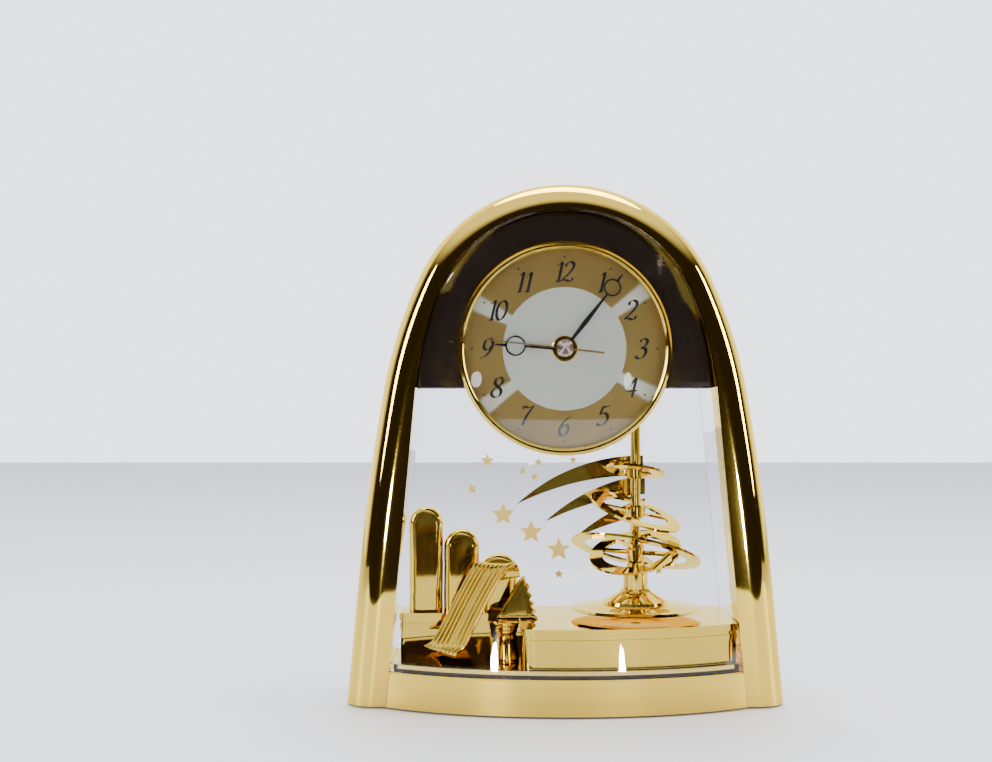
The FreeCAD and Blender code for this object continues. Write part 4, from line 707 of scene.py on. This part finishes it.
def ribbon_section(half):
    """The strip's profile across its width: beads at its edges and seven flutes between."""
    points = []
    for step in range(-30, 31):
        u = step / 30
        flute = (FLUTE_HEIGHT * abs(math.cos(math.pi * 3.5 * u / FLUTED_SHARE))
                 if abs(u) < FLUTED_SHARE else 0.0)
        bead = BEAD_HEIGHT * math.sqrt(max(0.0, 1 - ((abs(u) - BEAD_MIDDLE) / BEAD_HALF) ** 2))
        points.append((u * half, 0.1 + max(flute, bead)))
    points += [(half * 0.98, -0.6), (0.0, -0.9), (-half * 0.98, -0.6)]
    return points


print("ribbon section has", len(ribbon_section(9.0)), "points")

# %% Ribbon
line = catmull([row[:3] for row in RIBBON_PATH], 12)
facts = catmull([(row[3], row[4], 0) for row in RIBBON_PATH], 12)
ribbon_mesh = bmesh.new()
ribbon_loops = []
for number, (spot, fact) in enumerate(zip(line, facts)):
    along = (line[min(number + 1, len(line) - 1)] - line[max(number - 1, 0)]).normalized()
    heading = math.radians(fact.x)
    across = Vector((math.cos(heading), -math.sin(heading), 0))
    across = (across - along * across.dot(along)).normalized()
    normal = along.cross(across).normalized()
    ribbon_loops.append([RIBBON_CORNER + (spot + across * w + normal * t) * MM
                         for w, t in ribbon_section(fact.y)])
skin(ribbon_mesh, ribbon_loops)
for right, back, up, size in ((-9.0, -9.4, -1.6, 1.7), (-6.3, -8.6, -3.0, 1.4),
                              (-11.9, -10.2, -1.1, 1.3)):
    centre = RIBBON_CORNER + Vector((right, back, up)) * MM
    ball = bmesh.ops.create_icosphere(ribbon_mesh, subdivisions=3, radius=size * MM)
    for vertex in ball["verts"]:
        vertex.co = Vector((vertex.co.x * 1.15, vertex.co.y, vertex.co.z * 0.9)) + centre
make_piece("ribbon_fluted", ribbon_mesh, GOLD, "gold_plating", "ribbon")

# %% [markdown]
# ## The peak behind the ribbon
#
# A three-cornered leaf with a plain dark-looking face and a raised gold edge that is scalloped
# down its right side. Five loops go from its back over the edge and down to the face.

# %% Peak
peak_low, peak_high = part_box("peak")
peak_size = peak_high - peak_low
PEAK_OUTLINE = [(0, 0), (0.25, 0.0), (0.5, 0), (0.75, 0), (1, 0.02), (0.90, 0.10), (0.96, 0.17),
                (0.86, 0.26), (0.91, 0.34), (0.81, 0.44), (0.86, 0.53), (0.76, 0.64),
                (0.80, 0.74), (0.70, 0.86), (0.67, 0.98), (0.55, 0.88), (0.42, 0.70),
                (0.30, 0.50), (0.17, 0.28), (0.07, 0.12)]


def peak_loop(shrink, depth, lean=0.0):
    """The leaf's outline, drawn in towards its heart, at a depth that may lean back upwards."""
    heart = Vector((0.55, 0.38, 0))
    loop = []
    for spot in catmull([(x, z, 0) for x, z in PEAK_OUTLINE], 4, closed=True):
        spot = heart + (spot - heart) * shrink
        back = peak_size.y * (depth + lean * spot.y)
        loop.append(peak_low + Vector((peak_size.x * min(max(spot.x, 0), 1), back,
                                       peak_size.z * min(max(spot.y, 0), 1))))
    return loop


peak_mesh = bmesh.new()
skin(peak_mesh, [peak_loop(0.96, 0.98), peak_loop(1.0, 0.8), peak_loop(1.0, 0.3),
                 peak_loop(0.97, 0.1), peak_loop(0.92, 0.02), peak_loop(0.86, 0.08),
                 peak_loop(0.82, 0.2, 0.4), peak_loop(0.80, 0.22, 0.45)])
make_piece("peak_leaf", peak_mesh, GOLD, "gold_plating", "peak")

# %% [markdown]
# ## The pedestal under the ribbon
#
# A turned-looking block with a flared foot, a waist and a two-step slab on top, plated like
# the rest. It is one plan drawn at ten heights, larger or smaller as the profile asks.

# %% Pedestal
pedestal_low, pedestal_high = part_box("pedestal")
pedestal_size = pedestal_high - pedestal_low
PEDESTAL_PLAN = [(0.02, 0.98), (0.0, 0.78), (0.0, 0.57), (0.1, 0.34), (0.27, 0.16), (0.57, 0.02),
                 (0.8, 0.08), (0.98, 0.22), (1.0, 0.5), (1.0, 0.78), (0.98, 0.98), (0.5, 1.0)]
PEDESTAL_PROFILE = [(0.0, 0.97), (0.06, 0.99), (0.12, 0.95), (0.3, 0.86), (0.5, 0.8), (0.68, 0.79),
                    (0.74, 0.86), (0.79, 0.86), (0.82, 0.92), (0.9, 0.93), (0.93, 0.98),
                    (0.98, 0.98), (1.0, 0.95)]
pedestal_mesh = bmesh.new()
pedestal_plan = catmull([(x, y, 0) for x, y in PEDESTAL_PLAN], 6, closed=True)
pedestal_loops = []
for height, size in PEDESTAL_PROFILE:
    loop = []
    for spot in pedestal_plan:
        x = 0.5 + (min(max(spot.x, 0), 1) - 0.5) * size
        y = 0.5 + (min(max(spot.y, 0), 1) - 0.5) * size
        loop.append(pedestal_low + Vector((pedestal_size.x * x, pedestal_size.y * y,
                                           pedestal_size.z * height)))
    pedestal_loops.append(loop)
skin(pedestal_mesh, pedestal_loops)
make_piece("pedestal_flared", pedestal_mesh, GOLD, "gold_plating", "pedestal")

# %% [markdown]
# ## The floor
#
# The clock stands on a plain pale table, painted the same all over. It ends half a metre in
# front of the clock and runs far behind it. The plating's lower faces mirror it, which gives
# them their pale bands. One large square is enough. It hangs on none of the clock's bodies,
# so it isn't part of the clock.

# %% Floor
FLOOR_REACH = 3.0  # metres to either side and behind
FLOOR_FRONT = -0.5

floor_mesh = bpy.data.meshes.new("floor")
floor_mesh.from_pydata([(-FLOOR_REACH, FLOOR_FRONT, 0), (FLOOR_REACH, FLOOR_FRONT, 0),
                        (FLOOR_REACH, FLOOR_REACH, 0), (-FLOOR_REACH, FLOOR_REACH, 0)],
                       [], [(0, 1, 2, 3)])
floor = bpy.data.objects.new("floor", floor_mesh)
bpy.context.scene.collection.objects.link(floor)
table_paint, table_tree = new_material("pale_painted_table")
finish_material(table_tree, add(table_tree, "ShaderNodeBsdfPrincipled",
                                Base_Color=linear("D0D2D6"), Roughness=0.55))
floor_mesh.materials.append(table_paint)
print("floor", table_paint.name)

# %% [markdown]
# ## The sky
#
# A plated clock shows its room, so the room matters more than the lamps. This one is pale and
# even behind and overhead and dim in front, and it blends softly from one to the other. The
# plating's face then mirrors the dim half and its rounded flanks the pale half, which gives
# the dark and light bands of polished gold. Seen from behind, the dim half is the backdrop.

# %% Sky
WALL = "EFF1FA"
DIM_ROOM = "1A1613"
SKY_STRENGTH = 3.0


def room_sky():
    """Pale behind and overhead, dim in front, with a soft blend between them."""
    world = bpy.data.worlds.new("World")
    bpy.context.scene.world = world
    world.use_nodes = True
    sky = world.node_tree
    sky.nodes.clear()
    place = add(sky, "ShaderNodeTexCoord")
    way = add(sky, "ShaderNodeSeparateXYZ", Vector=place.outputs["Generated"])
    behind = add(sky, "ShaderNodeMapRange", {"interpolation_type": "SMOOTHSTEP"},
                 Value=way.outputs["Y"], From_Min=0.08, From_Max=0.55)
    above = add(sky, "ShaderNodeMapRange", {"interpolation_type": "SMOOTHSTEP"},
                Value=way.outputs["Z"], From_Min=0.5, From_Max=0.8, To_Max=0.65)
    pale = add(sky, "ShaderNodeMath", {"operation": "MAXIMUM"}, _0=behind.outputs[0],
               _1=above.outputs[0])
    colour = add(sky, "ShaderNodeMix", {"data_type": "RGBA"}, _0=pale.outputs[0],
                 _6=linear(DIM_ROOM), _7=linear(WALL))
    background = add(sky, "ShaderNodeBackground", Color=colour.outputs["Result"],
                     Strength=SKY_STRENGTH)
    add(sky, "ShaderNodeOutputWorld", Surface=background.outputs[0])


room_sky()
print("sky", WALL, "to", DIM_ROOM)

# %% [markdown]
# ## The lights
#
# Two small lamps low in front leave the pair of round highlights on the dial's lens. Two tall
# soft windows at the sides draw the long lines down the arch, the left a little bluer than the
# right, and a wide soft panel overhead lights the table and the ornaments' tops. All are
# ellipses, because a mirror shows the shape of its lamp.

# %% Lights
def panel(name, place, aim, size, power, colour="FFFFFF"):
    """A soft elliptical lamp: its place, what it aims at, its size (m), power (W) and tint."""
    data = bpy.data.lights.new(name, "AREA")
    data.shape = "ELLIPSE"
    data.size = size[0]
    data.size_y = size[1]
    data.energy = power
    data.color = linear(colour)[:3]
    lamp = bpy.data.objects.new(name, data)
    lamp.location = place
    lamp.rotation_euler = (Vector(aim) - Vector(place)).to_track_quat("-Z", "Y").to_euler()
    bpy.context.scene.collection.objects.link(lamp)
    print(name, power, "W")


panel("lamp_left", (-0.46, -1.15, 0.045), (0, 0, 0.15), (0.05, 0.09), 28)
panel("lamp_right", (0.42, -1.15, 0.03), (0, 0, 0.15), (0.045, 0.11), 24)
panel("window_left", (-1.6, -0.5, 0.7), (0, 0, 0.12), (0.35, 1.0), 20, "E8F0FF")
panel("window_right", (1.5, -0.25, 0.6), (0, 0, 0.12), (0.3, 0.9), 18, "FFF4E6")
panel("overhead", (0.1, 0.35, 1.7), (0, 0, 0.1), (1.6, 0.8), 45)

# %% [markdown]
# ## Last update
#
# The view layer is brought up to date once more.

# %% Update
bpy.context.view_layer.update()
